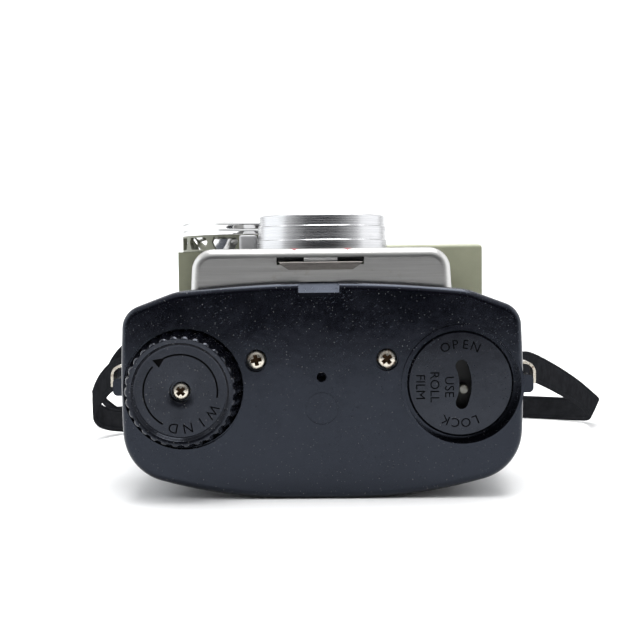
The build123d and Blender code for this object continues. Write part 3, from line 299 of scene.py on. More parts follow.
def lever_steel_painted_light(name):
    """The exposure lever with painted light: the lip painted dull and dark as the shade it lies in, the neck
    painted bright as lit steel, and the part inside the housing painted black as the slot's shade.
    """
    mat, tree, shader = new_material(name)
    where = add_node(tree, "ShaderNodeTexCoord")
    height = add_node(tree, "ShaderNodeSeparateXYZ", {"Vector": where.outputs["Object"]}).outputs["Y"]
    lip_end, inside = (BOTTOM_Y + 3.2) * MM, (BOTTOM_Y + 6.0) * MM
    streaks = noise(tree, millimetres(tree, (0.15, 8, 8)), 1.0, 5.0, 0.7)
    # painted light on one and the same steel: painted shade on the lip, a painted lit tone on the neck
    shaded_lip = blend(tree, streaks, (0.20, 0.185, 0.175, 1), (0.30, 0.28, 0.26, 1))
    lit_neck = blend(tree, streaks, (0.66, 0.65, 0.64, 1), (0.80, 0.79, 0.78, 1))
    colour = blend(tree, maths(tree, "GREATER_THAN", height, lip_end), shaded_lip, lit_neck)
    # painted shade: inside the housing the lever is painted black and unmetallic, as the shade in the slot
    slot_shade = maths(tree, "GREATER_THAN", height, inside)
    colour = blend(tree, slot_shade, colour, (0.003, 0.003, 0.003, 1))
    tree.links.new(colour, shader.inputs["Base Color"])
    tree.links.new(maths(tree, "SUBTRACT", 1.0, slot_shade), shader.inputs["Metallic"])
    tree.links.new(remap(tree, streaks, 0.3, 0.7, 0.24, 0.38), shader.inputs["Roughness"])
    bump(tree, shader, streaks, 0.01)
    return mat


def turned(name, base, dark, axis_mm, low_rough, high_rough, depth=0.012):
    """Metal turned on a lathe: rings about an axis parallel to Z."""
    mat, tree, shader = new_material(name)
    shader.inputs["Metallic"].default_value = 1.0
    where = add_node(tree, "ShaderNodeTexCoord")
    parts = add_node(tree, "ShaderNodeSeparateXYZ", {"Vector": where.outputs["Object"]})
    u = maths(tree, "SUBTRACT", parts.outputs["X"], axis_mm[0] * MM)
    v = maths(tree, "SUBTRACT", parts.outputs["Y"], axis_mm[1] * MM)
    squares = maths(tree, "ADD", maths(tree, "MULTIPLY", u, u), maths(tree, "MULTIPLY", v, v))
    radius = maths(tree, "SQRT", squares)
    rings = add_node(tree, "ShaderNodeCombineXYZ", {
        "X": maths(tree, "MULTIPLY", radius, 1 / MM),
        "Z": maths(tree, "MULTIPLY", parts.outputs["Z"], 1 / MM)})
    fine = noise(tree, rings.outputs[0], 7.0, 4.0, 0.7)
    tarnish = noise(tree, millimetres(tree), 0.25, 6.0, 0.6)
    colour = blend(tree, remap(tree, fine, 0.3, 0.7, 0.0, 1.0), (*dark, 1), (*base, 1))
    dull = tuple(0.6 * c for c in base) + (1,)
    colour = blend(tree, remap(tree, tarnish, 0.58, 0.8, 0.0, 0.4), colour, dull)
    tree.links.new(colour, shader.inputs["Base Color"])
    tree.links.new(remap(tree, fine, 0.3, 0.7, low_rough, high_rough), shader.inputs["Roughness"])
    bump(tree, shader, fine, depth)
    return mat


def plated(name, base, stain, rough, stain_low, stain_high):
    """Plated steel with stains that spread in blots."""
    mat, tree, shader = new_material(name)
    mm = millimetres(tree)
    blots = noise(tree, mm, 0.9, 8.0, 0.68)
    swirl = noise(tree, mm, 5.0, 3.0, 0.6)
    spread = remap(tree, blots, stain_low, stain_high, 0.0, 1.0)
    colour = blend(tree, spread, (*base, 1), (*stain, 1))
    tree.links.new(colour, shader.inputs["Base Color"])
    tree.links.new(remap(tree, spread, 0.0, 1.0, 1.0, 0.35), shader.inputs["Metallic"])
    base_rough = remap(tree, swirl, 0.3, 0.7, rough, rough + 0.12)
    tree.links.new(maths(tree, "ADD", base_rough, maths(tree, "MULTIPLY", spread, 0.3)),
                   shader.inputs["Roughness"])
    bump(tree, shader, maths(tree, "ADD", swirl, spread), 0.01)
    return mat


def glass(name, tint, rough=0.02):
    """Clear or tinted moulded glass with a faint haze."""
    mat, tree, shader = new_material(name)
    shader.inputs["Transmission Weight"].default_value = 1.0
    shader.inputs["IOR"].default_value = 1.49
    haze = noise(tree, millimetres(tree), 0.5, 5.0, 0.6)
    tree.links.new(remap(tree, haze, 0.4, 0.8, rough, rough + 0.1), shader.inputs["Roughness"])
    tree.links.new(blend(tree, haze, (*tint, 1), tuple(0.94 * c for c in tint) + (1,)),
                   shader.inputs["Base Color"])
    return mat


def vinyl(name):
    """Strap vinyl: matt, with pebbled grain, and every edge painted paler: partly rubbed wear, partly a
    painted sheen, as the vinyl has no specular reflection.
    """
    mat, tree, shader = new_material(name)
    mm = millimetres(tree)
    pebbles = add_node(tree, "ShaderNodeTexVoronoi", {"Vector": mm, "Scale": 1.9}, feature="SMOOTH_F1")
    folds = noise(tree, mm, 0.35, 5.0, 0.6)
    grain = noise(tree, mm, 4.0, 4.0, 0.6)
    colour = blend(tree, remap(tree, folds, 0.35, 0.75, 0.0, 1.0), (0.0115, 0.0120, 0.0135, 1),
                   (0.0185, 0.0192, 0.0215, 1))
    # painted sheen and wear: a paler grey along all edges alike, with no specular to make a real highlight
    rubbed = maths(tree, "MULTIPLY", edge_mask(tree, 0.3), 0.35)
    colour = blend(tree, rubbed, colour, (0.045, 0.048, 0.055, 1))
    tree.links.new(colour, shader.inputs["Base Color"])
    shader.inputs["Specular IOR Level"].default_value = 0.0
    tree.links.new(remap(tree, folds, 0.3, 0.75, 0.40, 0.55), shader.inputs["Roughness"])
    relief = maths(tree, "ADD", maths(tree, "MULTIPLY", pebbles.outputs["Distance"], 0.7),
                   maths(tree, "MULTIPLY", grain, 0.4))
    bump(tree, shader, relief, 0.05)
    return mat


def grime(name, low, high):
    """Matt dark colour in a recess: brown dirt in the screws' cross recesses, and near-black painted shadow
    in the engraved letters.
    """
    mat, tree, shader = new_material(name)
    dirt = noise(tree, millimetres(tree), 3.0, 4.0, 0.6)
    tree.links.new(blend(tree, dirt, (*low, 1), (*high, 1)), shader.inputs["Base Color"])
    shader.inputs["Roughness"].default_value = 0.9
    shader.inputs["Specular IOR Level"].default_value = 0.1
    return mat


def red_paint(name):
    """Red paint with paler pink chips: partly worn paint, partly a painted highlight for the glare on the
    small marks.
    """
    mat, tree, shader = new_material(name)
    chips = noise(tree, millimetres(tree), 2.5, 5.0, 0.7)
    # partly painted highlight: the paler pink patches stand for glare as well as worn paint
    worn = remap(tree, chips, 0.45, 0.65, 0.0, 1.0)
    colour = blend(tree, worn, (0.28, 0.045, 0.055, 1), (0.42, 0.22, 0.22, 1))
    tree.links.new(colour, shader.inputs["Base Color"])
    tree.links.new(remap(tree, chips, 0.3, 0.7, 0.35, 0.55), shader.inputs["Roughness"])
    return mat


# ---------------------------------------------------------------- the finishes


def make_materials():
    """The finishes: one for each slot of the record, and those that a few pieces have alone."""
    return {
        "black_moulding": moulding("black_moulding", (0.0022, 0.0024, 0.0040), (0.03, 0.032, 0.038),
                                   0.10, 0.2, 0.3, reflection=(0.70, 0.79, 1.0), gloss=0.40),
        "black_knob": moulding("black_knob", (0.0024, 0.0026, 0.0042), (0.04, 0.042, 0.048),
                               0.12, 0.2, 0.3, wear=0.4, reflection=(0.76, 0.83, 1.0), gloss=0.46),
        "inner_moulding": moulding("inner_moulding", (0.012, 0.012, 0.013), (0.04, 0.04, 0.04),
                                   0.45, 0.6, 0.2),
        "grey_green_moulding": moulding("grey_green_moulding", (0.40, 0.41, 0.29), (0.50, 0.51, 0.40),
                                        0.30, 0.44, 0.12, ripple=0.06, wear=0.35),
        "ejector_plastic": moulding("ejector_plastic", (0.62, 0.60, 0.52), (0.7, 0.68, 0.6),
                                    0.28, 0.4, 0.1),
        "red_window": glass("red_window", (0.55, 0.012, 0.01), 0.05),
        "clear_glass": glass("clear_glass", (0.97, 0.985, 0.98)),
        "strap_vinyl": vinyl("strap_vinyl"),
        "spring_steel": brushed("spring_steel", (0.62, 0.61, 0.59), (0.42, 0.41, 0.40),
                                (6, 0.4, 6), 0.25, 0.4),
        "nickel": plated("nickel", (0.62, 0.58, 0.50), (0.16, 0.085, 0.035), 0.22, 0.54, 0.68),
        "brass_parts": plated("brass_parts", (0.75, 0.56, 0.25), (0.22, 0.12, 0.05), 0.22, 0.6, 0.8),
        "brushed_aluminium": brushed("brushed_aluminium", (0.56, 0.555, 0.545), (0.43, 0.425, 0.415),
                                     (0.12, 9, 9), 0.26, 0.38),
        "turned_aluminium": turned("turned_aluminium", (0.63, 0.63, 0.64), (0.42, 0.42, 0.43),
                                   (LENS.x, LENS.y), 0.18, 0.32),
        "black_metal": brushed("black_metal", (0.018, 0.018, 0.019), (0.010, 0.010, 0.011),
                               (3, 3, 3), 0.4, 0.55, 0.006, (0.03, 0.03, 0.03)),
        "chrome_rim": turned("chrome_rim", (0.92, 0.92, 0.91), (0.80, 0.80, 0.80),
                             (FLASH.x, FLASH.y), 0.05, 0.12, 0.004),
        "mirror_bowl": turned("mirror_bowl", (0.93, 0.93, 0.93), (0.84, 0.84, 0.85),
                              (FLASH.x, FLASH.y), 0.06, 0.14, 0.006),
        "release_plastic": moulding("release_plastic", (0.52, 0.52, 0.53), (0.6, 0.6, 0.6),
                                    0.3, 0.42, 0.1),
        "lever_steel_painted_light": lever_steel_painted_light("lever_steel_painted_light"),
        # painted shade: the collar's own grey-green moulding at about half brightness, to hold down its lit
        # faces
        "collar_plastic_painted_shade": moulding("collar_plastic_painted_shade", (0.20, 0.205, 0.15), (0.3, 0.3, 0.24),
                                   0.34, 0.46, 0.1),
        "pin_steel": plated("pin_steel", (0.22, 0.22, 0.20), (0.10, 0.08, 0.05), 0.42, 0.5, 0.7),
        "battery_case": moulding("battery_case", (0.36, 0.045, 0.03), (0.5, 0.3, 0.25), 0.22, 0.35, 0.1),
        "index_red": red_paint("index_red"),
        # painted shadow: near black, standing for the shade in the cut grooves of letters and arrow
        "engraving_painted_shadow": grime("engraving_painted_shadow", (0.0015, 0.0015, 0.002), (0.004, 0.004, 0.0045)),
        "recess_grime": grime("recess_grime", (0.030, 0.014, 0.007), (0.075, 0.045, 0.022)),
    }


def slot_of():
    """The record's material slot of each node."""
    return {part["node"]: part["material_slot"] for part in frame["record"]["subparts"]}


# Pieces whose finish differs from the others in their slot
OWN_FINISH = {"exposure_lever": "lever_steel_painted_light", "supply_pin": "pin_steel",
              "shutter_release": "release_plastic"}


def dress(materials):
    """Gives every CAD node its finish, and smooth shading that leaves its flats flat."""
    slots = {**slot_of(), **OWN_FINISH}
    for node, obj in frame["nodes"].items():
        obj.data.materials.clear()
        obj.data.materials.append(materials[slots[node]])
        obj.data.polygons.foreach_set("material_index", [0] * len(obj.data.polygons))
        obj.data.shade_smooth()
        obj.data.set_sharp_from_angle(angle=radians(SHARP_EDGE))
        flat_normals(obj)


def flat_normals(obj):
    weighted = obj.modifiers.new("flat_faces_stay_flat", "WEIGHTED_NORMAL")
    weighted.keep_sharp = True
    weighted.weight = 90


# ---------------------------------------------------------------- mesh helpers


def upright_place(x, z):
    """Places a turned piece about an axis through the bottom: height counts from the bottom face."""
    return lambda u, v, height: Vector((x + u, BOTTOM_Y + height, z + v)) * MM


def optical_place(x, y):
    return lambda u, v, z: Vector((x + u, y + v, z)) * MM


def rounded(corners, steps=4):
    """Closed outline of (x, y, radius) corners, each turned into an arc."""
    outline = []
    count = len(corners)
    for index, (x, y, radius) in enumerate(corners):
        here = Vector((x, y))
        before = Vector(corners[index - 1][:2]) - here
        after = Vector(corners[(index + 1) % count][:2]) - here
        if radius <= 0:
            outline.append((x, y))
            continue
        half = before.angle(after) / 2
        reach = min(radius / tan(half), 0.49 * before.length, 0.49 * after.length)
        start, end = here + before.normalized() * reach, here + after.normalized() * reach
        for step in range(steps + 1):
            t = step / steps
            point = start * (1 - t) ** 2 + here * 2 * t * (1 - t) + end * t ** 2
            outline.append((point.x, point.y))
    return outline


def lathe(profile, segments, place, ripple=None):
    """Turns a closed (radius, height) profile; ripple changes the radius with angle and height."""
    work = bmesh.new()
    rings = []
    for radius, height in profile:
        if radius < 1e-6:
            rings.append([work.verts.new(place(0, 0, height))])
            continue
        ring = []
        for step in range(segments):
            angle = 2 * pi * step / segments
            local = radius if ripple is None else ripple(radius, height, angle)
            ring.append(work.verts.new(place(local * cos(angle), local * sin(angle), height)))
        rings.append(ring)
    for low, high in zip(rings, rings[1:] + rings[:1]):
        if len(low) == 1 and len(high) == 1:
            continue
        for step in range(segments):
            after = (step + 1) % segments
            corners = [low[step % len(low)], low[after % len(low)], high[after % len(high)],
                       high[step % len(high)]]
            corners = list(dict.fromkeys(corners))
            work.faces.new(corners)
    bmesh.ops.recalc_face_normals(work, faces=work.faces)
    return work


def to_object(work, name, sharp=SHARP_EDGE):
    mesh = bpy.data.meshes.new(name)
    work.to_mesh(mesh)
    work.free()
    mesh.shade_smooth()
    mesh.set_sharp_from_angle(angle=radians(sharp))
    obj = bpy.data.objects.new(name, mesh)
    bpy.context.scene.collection.objects.link(obj)
    return obj


def prism(outline, low, high, place):
    """A straight solid between two levels; outline is a list of (u, v)."""
    work = bmesh.new()
    floor = [work.verts.new(place(u, v, low)) for u, v in outline]
    roof = [work.verts.new(place(u, v, high)) for u, v in outline]
    work.faces.new(floor)
    work.faces.new(list(reversed(roof)))
    count = len(outline)
    for index in range(count):
        after = (index + 1) % count
        work.faces.new((floor[index], floor[after], roof[after], roof[index]))
    bmesh.ops.recalc_face_normals(work, faces=work.faces)
    return work


def cut(target, tools):
    """Cuts the tools out of the target one after another and removes them."""
    for tool in tools:
        modifier = target.modifiers.new("cut", "BOOLEAN")
        modifier.operation = "DIFFERENCE"
        modifier.solver = "EXACT"
        modifier.material_mode = "TRANSFER"
        modifier.object = tool
    bpy.context.view_layer.update()
    graph = bpy.context.evaluated_depsgraph_get()
    mesh = bpy.data.meshes.new_from_object(target.evaluated_get(graph))
    target.modifiers.clear()
    old = target.data
    target.data = mesh
    bpy.data.meshes.remove(old)
    for tool in tools:
        bpy.data.objects.remove(tool)
    mesh.shade_smooth()
    mesh.set_sharp_from_angle(angle=radians(SHARP_EDGE))


def finish_piece(obj, body, slot, materials, *replaced):
    if not obj.data.materials:
        obj.data.materials.append(materials[slot])
    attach(obj, body)
    if replaced:
        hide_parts(*replaced)


def letter_tool(text, name, size, place, right, up, low, high):
    """A solid letter or word, to be cut in. place is its centre in (X, Z); low and high are heights."""
    curve = bpy.data.curves.new(name, "FONT")
    curve.body = text
    curve.size = size
    curve.align_x = "CENTER"
    curve.align_y = "CENTER"
    curve.resolution_u = 3
    curve.extrude = (high - low) / 2
    lettering = bpy.data.objects.new(name, curve)
    bpy.context.scene.collection.objects.link(lettering)
    bpy.context.view_layer.update()
    graph = bpy.context.evaluated_depsgraph_get()
    mesh = bpy.data.meshes.new_from_object(lettering.evaluated_get(graph))
    bpy.data.objects.remove(lettering)
    middle = BOTTOM_Y + (low + high) / 2
    for vertex in mesh.vertices:
        x, y, z = vertex.co
        spot = (place[0] + x * right[0] + y * up[0], middle - z, place[1] + x * right[1] + y * up[1])
        vertex.co = Vector(spot) * MM
    work = bmesh.new()
    work.from_mesh(mesh)
    bmesh.ops.remove_doubles(work, verts=work.verts, dist=1e-7)
    bmesh.ops.recalc_face_normals(work, faces=work.faces)
    work.to_mesh(mesh)
    work.free()
    tool = bpy.data.objects.new(name, mesh)
    bpy.context.scene.collection.objects.link(tool)
    return tool


def letters_round(text, hub, radius, start, step, size, low, high, name):
    """Letters round a circle, clockwise from the start angle, with their tops outwards."""
    tools = []
    for index, letter in enumerate(text):
        angle = radians(start - index * step)
        place = (hub[0] + radius * cos(angle), hub[1] + radius * sin(angle))
        tools.append(letter_tool(letter, f"{name}_{index}", size, place, (sin(angle), -cos(angle)),
                                 (cos(angle), sin(angle)), low, high))
    return tools


# ---------------------------------------------------------------- wind knob

KNOB_TEETH = 30
KNOB_DISH = -5.2          # level of the dish where the lettering is cut


def make_knob(materials):
    """Serrated wind knob with a dished face, an arrow and its word cut in."""
    profile = rounded([
        (2.4, 1.3, 0.0), (14.8, 1.3, 0.1), (14.8, 0.4, 0.2), (13.6, -6.0, 0.5), (13.1, -6.5, 0.35),
        (12.1, -6.4, 0.3), (11.4, KNOB_DISH - 0.2, 0.5), (11.0, KNOB_DISH - 0.19, 0.0),
        (7.2, KNOB_DISH - 0.1, 0.0), (4.6, KNOB_DISH - 0.04, 0.0), (2.75, KNOB_DISH, 0.15), (2.75, -3.6, 0.1),
        (1.3, -3.6, 0.0), (1.3, -1.5, 0.0), (2.4, -1.5, 0.0)])

    def serration(radius, height, angle):
        if radius < 13.0 or height > 1.0:
            return radius
        valley = 0.5 - 0.5 * cos(angle * KNOB_TEETH)
        depth = 0.62 * min(1.0, (radius - 13.0) / 0.5)
        return radius - depth * valley ** 1.6

    hub = (KNOB.x, KNOB.z)
    points_per_tooth, knob_sharp_edge = 14, 40.0
    turned_knob = lathe(profile, KNOB_TEETH * points_per_tooth, upright_place(*hub), serration)
    knob = to_object(turned_knob, "wind_knob_face", knob_sharp_edge)
    low, high = KNOB_DISH - 0.8, KNOB_DISH + 0.35
    tools = letters_round("WIND", hub, 9.05, -33.0, 23.0, 3.5, low, high, "wind_letter")
    arrow_r, half_w = 9.1, 0.22
    for first, last in ((116.0, -10.0), (241.0, 137.0)):
        arc = []
        steps = 40
        for radius, order in ((arrow_r - half_w, range(steps + 1)), (arrow_r + half_w, range(steps, -1, -1))):
            for step in order:
                angle = radians(first + (last - first) * step / steps)
                arc.append((radius * cos(angle), radius * sin(angle)))
        tools.append(to_object(prism(arc, low, high, upright_place(*hub)), "arrow_arc"))
    tip, back = radians(114.0), radians(131.0)
    head = [(arrow_r * cos(tip), arrow_r * sin(tip))]
    head += [((arrow_r + side) * cos(back), (arrow_r + side) * sin(back)) for side in (1.25, -1.25)]
    tools.append(to_object(prism(head, low, high, upright_place(*hub)), "arrow_head"))
    knob.data.materials.append(materials["black_knob"])
    # painted shadow: the cut letters and arrow take the near-black engraving finish as the shade in their
    # grooves
    for tool in tools:
        tool.data.materials.append(materials["engraving_painted_shadow"])
    cut(knob, tools)
    flat_normals(knob)
    finish_piece(knob, "winder", "black_knob", materials, "wind_knob")


# ---------------------------------------------------------------- lock disc

DISC_FACE = 4.2


def make_lock_disc(materials):
    """Lock disc with its finger slot and words cut in."""
    profile = rounded([
        (0.0, DISC_FACE, 0.0), (12.95, DISC_FACE, 0.15), (13.4, DISC_FACE + 0.35, 0.15), (13.4, 5.3, 0.0),
        (14.0, 5.3, 0.0), (14.0, 6.05, 0.0), (10.4, 6.05, 0.0), (10.4, 7.35, 0.0), (8.8, 7.35, 0.0),
        (8.8, 5.5, 0.0), (0.0, 5.5, 0.0)])
    disc = to_object(lathe(profile, 192, upright_place(LOCK.x, LOCK.z)), "lock_disc_face")
    low, high = DISC_FACE - 0.4, DISC_FACE + 0.45
    hub = (LOCK.x, LOCK.z)
    tools = letters_round("OPEN", hub, 9.85, 90.0 + 22.5, 15.0, 3.3, low, high, "open_letter")
    tools += letters_round("LOCK", hub, 9.85, -90.0 + 22.5, 15.0, 3.3, low, high, "lock_letter")
    for row, (word, shift) in enumerate((("USE", -2.9), ("ROLL", -6.6), ("FILM", -10.2))):
        place = (LOCK.x + shift, LOCK.z - 0.8)
        tools.append(letter_tool(word, f"film_word_{row}", 3.3, place, (0, -1), (1, 0), low, high))
    disc.data.materials.append(materials["black_knob"])
    # painted shadow: the cut words take the near-black engraving finish as the shade in their grooves
    for tool in tools:
        tool.data.materials.append(materials["engraving_painted_shadow"])
    slot = to_object(prism(slot_outline(), DISC_FACE - 1, DISC_FACE + 2, upright_place(LOCK.x, LOCK.z)),
                     "finger_slot")
    slot.data.materials.append(materials["black_knob"])
    cut(disc, tools + [slot])
    flat_normals(disc)
    finish_piece(disc, "lock", "black_knob", materials, "lock_disc")


def slot_outline():
    """Outline of the finger slot about the disc's centre, bowed to the right."""
    start, bow, end, half = Vector((0.3, -4.9)), Vector((1.25, -0.2)), Vector((0.3, 4.5)), 1.55
    steps = 16
    line = []
    for step in range(steps + 1):
        t = step / steps
        control = bow * 2 - (start + end) / 2
        line.append(start * (1 - t) ** 2 + control * 2 * t * (1 - t) + end * t ** 2)
    outline = []
    for index in range(steps + 1):
        ahead = (line[min(index + 1, steps)] - line[max(index - 1, 0)]).normalized()
        outline.append(line[index] + Vector((ahead.y, -ahead.x)) * half)
    caps = 10
    turn_from = atan2(outline[-1].y - end.y, outline[-1].x - end.x)
    for step in range(1, caps):
        angle = turn_from + pi * step / caps
        outline.append(end + Vector((cos(angle), sin(angle))) * half)
    for index in range(steps, -1, -1):
        ahead = (line[min(index + 1, steps)] - line[max(index - 1, 0)]).normalized()
        outline.append(line[index] - Vector((ahead.y, -ahead.x)) * half)
    turn_from = atan2(outline[-1].y - start.y, outline[-1].x - start.x)
    for step in range(1, caps):
        angle = turn_from + pi * step / caps
        outline.append(start + Vector((cos(angle), sin(angle))) * half)
    return [(point.x, point.y) for point in outline]


# ---------------------------------------------------------------- screws


def make_screws(materials):
    """Pan heads with a tapered cross recess, in place of the plain ones."""
    screw_z = 35.0
    for side, x, turn in (("left", -16.3, 12.0), ("right", 16.3, 38.0)):
        screw = pan_head(materials, f"plate_screw_{side}", x, screw_z, 2.55, 0.2, 1.6, 1.22, 10.7, turn)
        finish_piece(screw, "front", "nickel", materials, "bottom_screws")
    knob_screw = pan_head(materials, "knob_cross_screw", KNOB.x, KNOB.z, 2.25, -4.95, -3.6, 1.15, 2.8, 45.0)
    finish_piece(knob_screw, "winder", "nickel", materials, "knob_screw")


def pan_head(materials, name, x, z, head_r, top, seat, shank_r, tip, turn):
    dome = []
    steps = 8
    for step in range(steps + 1):
        angle = pi / 2 * step / steps
        dome.append((head_r * sin(angle), seat - 0.25 + (top - seat + 0.25) * cos(angle)))
    profile = dome + [(head_r, seat), (shank_r, seat), (shank_r, tip - 0.6), (0.0, tip)]
    place = upright_place(x, z)
    screw = to_object(lathe(profile, 64, place), name)
    tools = []
    for quarter in (0.0, 90.0):
        angle = radians(turn + quarter)
        tools.append(cross_blade(place, angle, 0.60 * head_r, 0.2 * head_r, top - 0.3, top + 1.3))
    screw.data.materials.append(materials["nickel"])
    for tool in tools:
        tool.data.materials.append(materials["recess_grime"])
    cut(screw, tools)
    return screw


def cross_blade(place, angle, reach, half, top, floor):
    """One blade of the cross recess; it narrows towards its floor."""
    work = bmesh.new()
    levels = []
    for level, share in ((top, 1.1), (floor, 0.45)):
        end = reach * share
        corners = ((-end, -half), (end, -half), (end, half), (-end, half))
        levels.append([work.verts.new(place(u * cos(angle) - v * sin(angle),
                                            u * sin(angle) + v * cos(angle), level))
                       for u, v in corners])
    work.faces.new(levels[0])
    work.faces.new(list(reversed(levels[1])))
    for index in range(4):
        after = (index + 1) % 4
        work.faces.new((levels[0][index], levels[0][after], levels[1][after], levels[1][index]))
    bmesh.ops.recalc_face_normals(work, faces=work.faces)
    return to_object(work, "cross_blade")


# ---------------------------------------------------------------- flash collar and rim


def make_flash(materials):
    """Collar with six-sided windows, and a rolled rim of two beads."""
    outer, inner = 20.9, 19.7
    place = optical_place(FLASH.x, FLASH.y)
    top = RIM_LOW_Z
    profile = [(inner, COLLAR_LOW_Z), (outer, COLLAR_LOW_Z), (outer, top), (inner, top)]
    collar = to_object(lathe(profile, 240, place), "flash_lattice")
    windows, window_share = 13, 0.38     # the first window is turned by this share of a pitch
    shape = ((-4.2, 0.0), (-3.1, -2.1), (3.1, -2.1), (4.2, 0.0), (3.5, 1.5), (-3.5, 1.5))
    middle = (COLLAR_LOW_Z + top) / 2 + 0.3
    tools = []
    for index in range(windows):
        around = radians((index + window_share) * 360 / windows - 90)
        outward = Vector((cos(around), sin(around), 0))
        sideways = Vector((-sin(around), cos(around), 0))
        work = bmesh.new()
        rings = []
        for reach in (inner - 2, outer + 2):
            ring = [work.verts.new((Vector((FLASH.x, FLASH.y, middle + rise)) + outward * reach
                                    + sideways * side) * MM) for side, rise in shape]
            rings.append(ring)
        work.faces.new(rings[0])
        work.faces.new(list(reversed(rings[1])))
        for step in range(len(shape)):
            after = (step + 1) % len(shape)
            work.faces.new((rings[0][step], rings[0][after], rings[1][after], rings[1][step]))
        bmesh.ops.recalc_face_normals(work, faces=work.faces)
        tools.append(to_object(work, "lattice_window"))
    cut(collar, tools)
    # painted shade: the collar takes a darkened copy of its grey-green slot finish
    collar.data.materials.clear()
    collar.data.materials.append(materials["collar_plastic_painted_shade"])
    finish_piece(collar, "front", "grey_green_moulding", materials, "flash_collar")

    bead = rounded([
        (19.6, RIM_HIGH_Z - 0.9, 0.2), (19.75, RIM_HIGH_Z - 0.1, 0.35), (21.0, RIM_HIGH_Z, 0.6),
        (21.5, RIM_HIGH_Z - 0.95, 0.5), (21.2, RIM_HIGH_Z - 1.7, 0.3), (21.0, RIM_HIGH_Z - 2.2, 0.3),
        (21.3, RIM_HIGH_Z - 2.8, 0.4), (21.1, RIM_LOW_Z, 0.3), (19.6, RIM_LOW_Z, 0.1)], 5)
    rim = to_object(lathe(bead, 192, place), "rolled_rim")
    finish_piece(rim, "front", "chrome_rim", materials, "reflector_rim")


# ---------------------------------------------------------------- index marks on the housing


def make_index_marks(materials):
    """Two small red wedges on the rounded near edge of the front housing."""
    near_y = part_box("front_housing")[0].y / MM
    radius = 2.4              # of the housing's near edge
    proud = 0.03
    half_width = 1.3
    columns = (-1, -0.4, 0.4, 1)
    for side, x in (("left", -6.6), ("right", 6.8)):
        work = bmesh.new()
        rows = []
        steps = 8
        for step in range(steps + 1):
            share = step / steps
            angle = radians(90 - 44 * share)
            y = near_y + radius - (radius + proud) * cos(angle)
            z = HOUSING_TOP_Z - radius + (radius + proud) * sin(angle)
            half = half_width * (1 - share) + 0.02
            rows.append([work.verts.new(Vector((x + across * half, y, z)) * MM) for across in columns])
        back_y, back_z = near_y + radius + 1.2, HOUSING_TOP_Z + proud
        back = [work.verts.new(Vector((x + across * half_width, back_y, back_z)) * MM)
                for across in columns]
        rows.insert(0, back)
        for first, second in zip(rows, rows[1:]):
            for index in range(3):
                work.faces.new((first[index], first[index + 1], second[index + 1], second[index]))
        bmesh.ops.recalc_face_normals(work, faces=work.faces)
        mark = to_object(work, f"index_mark_{side}")
        mark.data.materials.append(materials["index_red"])
        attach(mark, "front")


# ---------------------------------------------------------------- neck strap

# The route of part.py: X, height above the bottom, Z.
STRAP_ROUTE = (
    (53.8, 29.0, 29.6),
    (57.5, 40.0, 29.6),
    (64.5, 55.0, 26.4),
    (74.5, 73.0, 21.0),
    (85.5, 92.0, 14.2),
    (93.5, 108.0, 8.2),
    (97.0, 119.5, 4.8),
    (90.5, 127.0, 4.3),
    (76.0, 134.0, 4.3),
    (56.0, 140.5, 4.3),
    (30.0, 145.0, 4.3),
    (2.0, 147.0, 4.3),
    (-26.0, 146.0, 4.3),
    (-47.0, 141.8, 4.3),
    (-63.0, 134.4, 4.3),
    (-74.0, 125.4, 4.5),
    (-80.2, 119.8, 8.0),
    (-82.2, 119.4, 14.6),
    (-78.6, 121.8, 22.0),
    (-71.0, 125.2, 28.8),
    (-57.0, 127.4, 34.2),
    (-36.5, 128.2, 35.2),
    (-16.0, 128.0, 29.5),
    (4.0, 127.5, 19.5),
    (22.0, 127.6, 9.6),
    (36.5, 127.9, 4.9),
    (48.8, 127.3, 4.3),
    (56.7, 119.4, 4.3),
    (56.7, 108.4, 4.3),
    (48.6, 100.8, 4.3),
    (34.0, 100.3, 4.3),
    (12.0, 102.2, 4.3),
    (-16.0, 105.4, 4.3),
    (-42.0, 107.6, 4.3),
    (-62.0, 108.0, 4.3),
    (-72.0, 105.4, 4.4),
    (-76.4, 97.2, 6.6),
    (-77.0, 85.0, 11.4),
    (-72.5, 70.0, 18.0),
    (-65.5, 55.0, 24.6),
    (-58.5, 41.0, 28.8),
    (-53.8, 29.5, 29.4),
)
STRAP_WIDTH, STRAP_THICKNESS = 8.4, 1.35
# Where the band turns about its own line: the place, the turn and its reach along the band
STRAP_TURNS = (((97.0, 119.5, 4.8), 28.0, 13.0), ((-80.0, 120.5, 8.5), 90.0, 18.0))


def strap_line():
    """Points along the route's own spline, in metres."""
    curve = bpy.data.curves.new("strap_route", "CURVE")
    curve.dimensions = "3D"
    spline = curve.splines.new("NURBS")
    spline.points.add(len(STRAP_ROUTE) - 1)
    for point, (x, height, z) in zip(spline.points, STRAP_ROUTE):
        point.co = (x * MM, (BOTTOM_Y + height) * MM, z * MM, 1.0)
    spline.order_u = 3
    spline.use_endpoint_u = True
    spline.resolution_u = 12
    carrier = bpy.data.objects.new("strap_route", curve)
    bpy.context.scene.collection.objects.link(carrier)
    bpy.context.view_layer.update()
    graph = bpy.context.evaluated_depsgraph_get()
    mesh = bpy.data.meshes.new_from_object(carrier.evaluated_get(graph))
    points = [vertex.co.copy() for vertex in mesh.vertices]
    bpy.data.objects.remove(carrier)
    return points


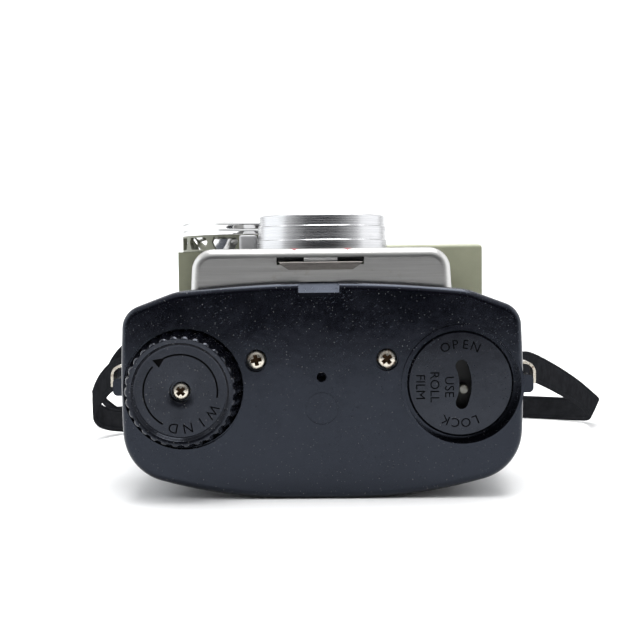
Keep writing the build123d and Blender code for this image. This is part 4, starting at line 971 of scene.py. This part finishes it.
def strap_section():
    """Half-rounded flat band with a shallow line beside each edge, as (across, out) in mm."""
    half_w, half_t = STRAP_WIDTH / 2, STRAP_THICKNESS / 2
    side = [(half_w, 0.0), (half_w - 0.12, 0.42), (half_w - 0.5, 0.9 * half_t),
            (half_w - 0.95, 0.92 * half_t), (half_w - 1.1, 0.72 * half_t), (half_w - 1.25, 0.92 * half_t),
            (half_w - 2.2, half_t)]
    face = side + [(-across, out) for across, out in reversed(side)]
    return face + [(across, -out) for across, out in reversed(face[1:-1])]


def make_strap(materials):
    line = strap_line()
    work = bmesh.new()
    section = strap_section()
    turns = [(Vector((x, BOTTOM_Y + height, z)) * MM, radians(turn), reach * MM)
             for (x, height, z), turn, reach in STRAP_TURNS]
    rings = []
    for index, point in enumerate(line):
        ahead = (line[min(index + 1, len(line) - 1)] - line[max(index - 1, 0)]).normalized()
        across = Vector((0, 0, 1)) - ahead * ahead.z
        across.normalize()
        lean = sum(turn * exp(-((point - spot).length / reach) ** 2) for spot, turn, reach in turns)
        across = Matrix.Rotation(lean, 3, ahead) @ across
        out = ahead.cross(across)
        rings.append([work.verts.new(point + (across * a + out * o) * MM) for a, o in section])
    count = len(section)
    for first, second in zip(rings, rings[1:]):
        for index in range(count):
            after = (index + 1) % count
            work.faces.new((first[index], first[after], second[after], second[index]))
    work.faces.new(rings[0])
    work.faces.new(list(reversed(rings[-1])))
    bmesh.ops.recalc_face_normals(work, faces=work.faces)
    strap = to_object(work, "flat_strap", 50)
    finish_piece(strap, "back", "strap_vinyl", materials, "neck_strap")


# ---------------------------------------------------------------- all together

bpy.context.scene.view_settings.view_transform = "Standard"
make_camera()
make_world()
make_floor()
area_light("top_softbox", (0.1, 0.02, 1.3), (0, 0, 0.03), (1.0, 0.8), 16.0)
area_light("backdrop_light", (0.0, 0.7, 1.5), (0, 1.8, 0.3), (2.0, 0.6), 14.0)
area_light("left_softbox", (-1.3, 0.2, 0.6), (0, 0, 0.03), (1.6, 1.4), 6.5, (0.93, 0.97, 1.0))
area_light("right_softbox", (1.3, 0.2, 0.6), (0, 0, 0.03), (1.6, 1.4), 5.5, (0.97, 0.98, 1.0))
finishes = make_materials()
dress(finishes)
make_strap(finishes)
make_knob(finishes)
make_lock_disc(finishes)
make_screws(finishes)
make_flash(finishes)
make_index_marks(finishes)
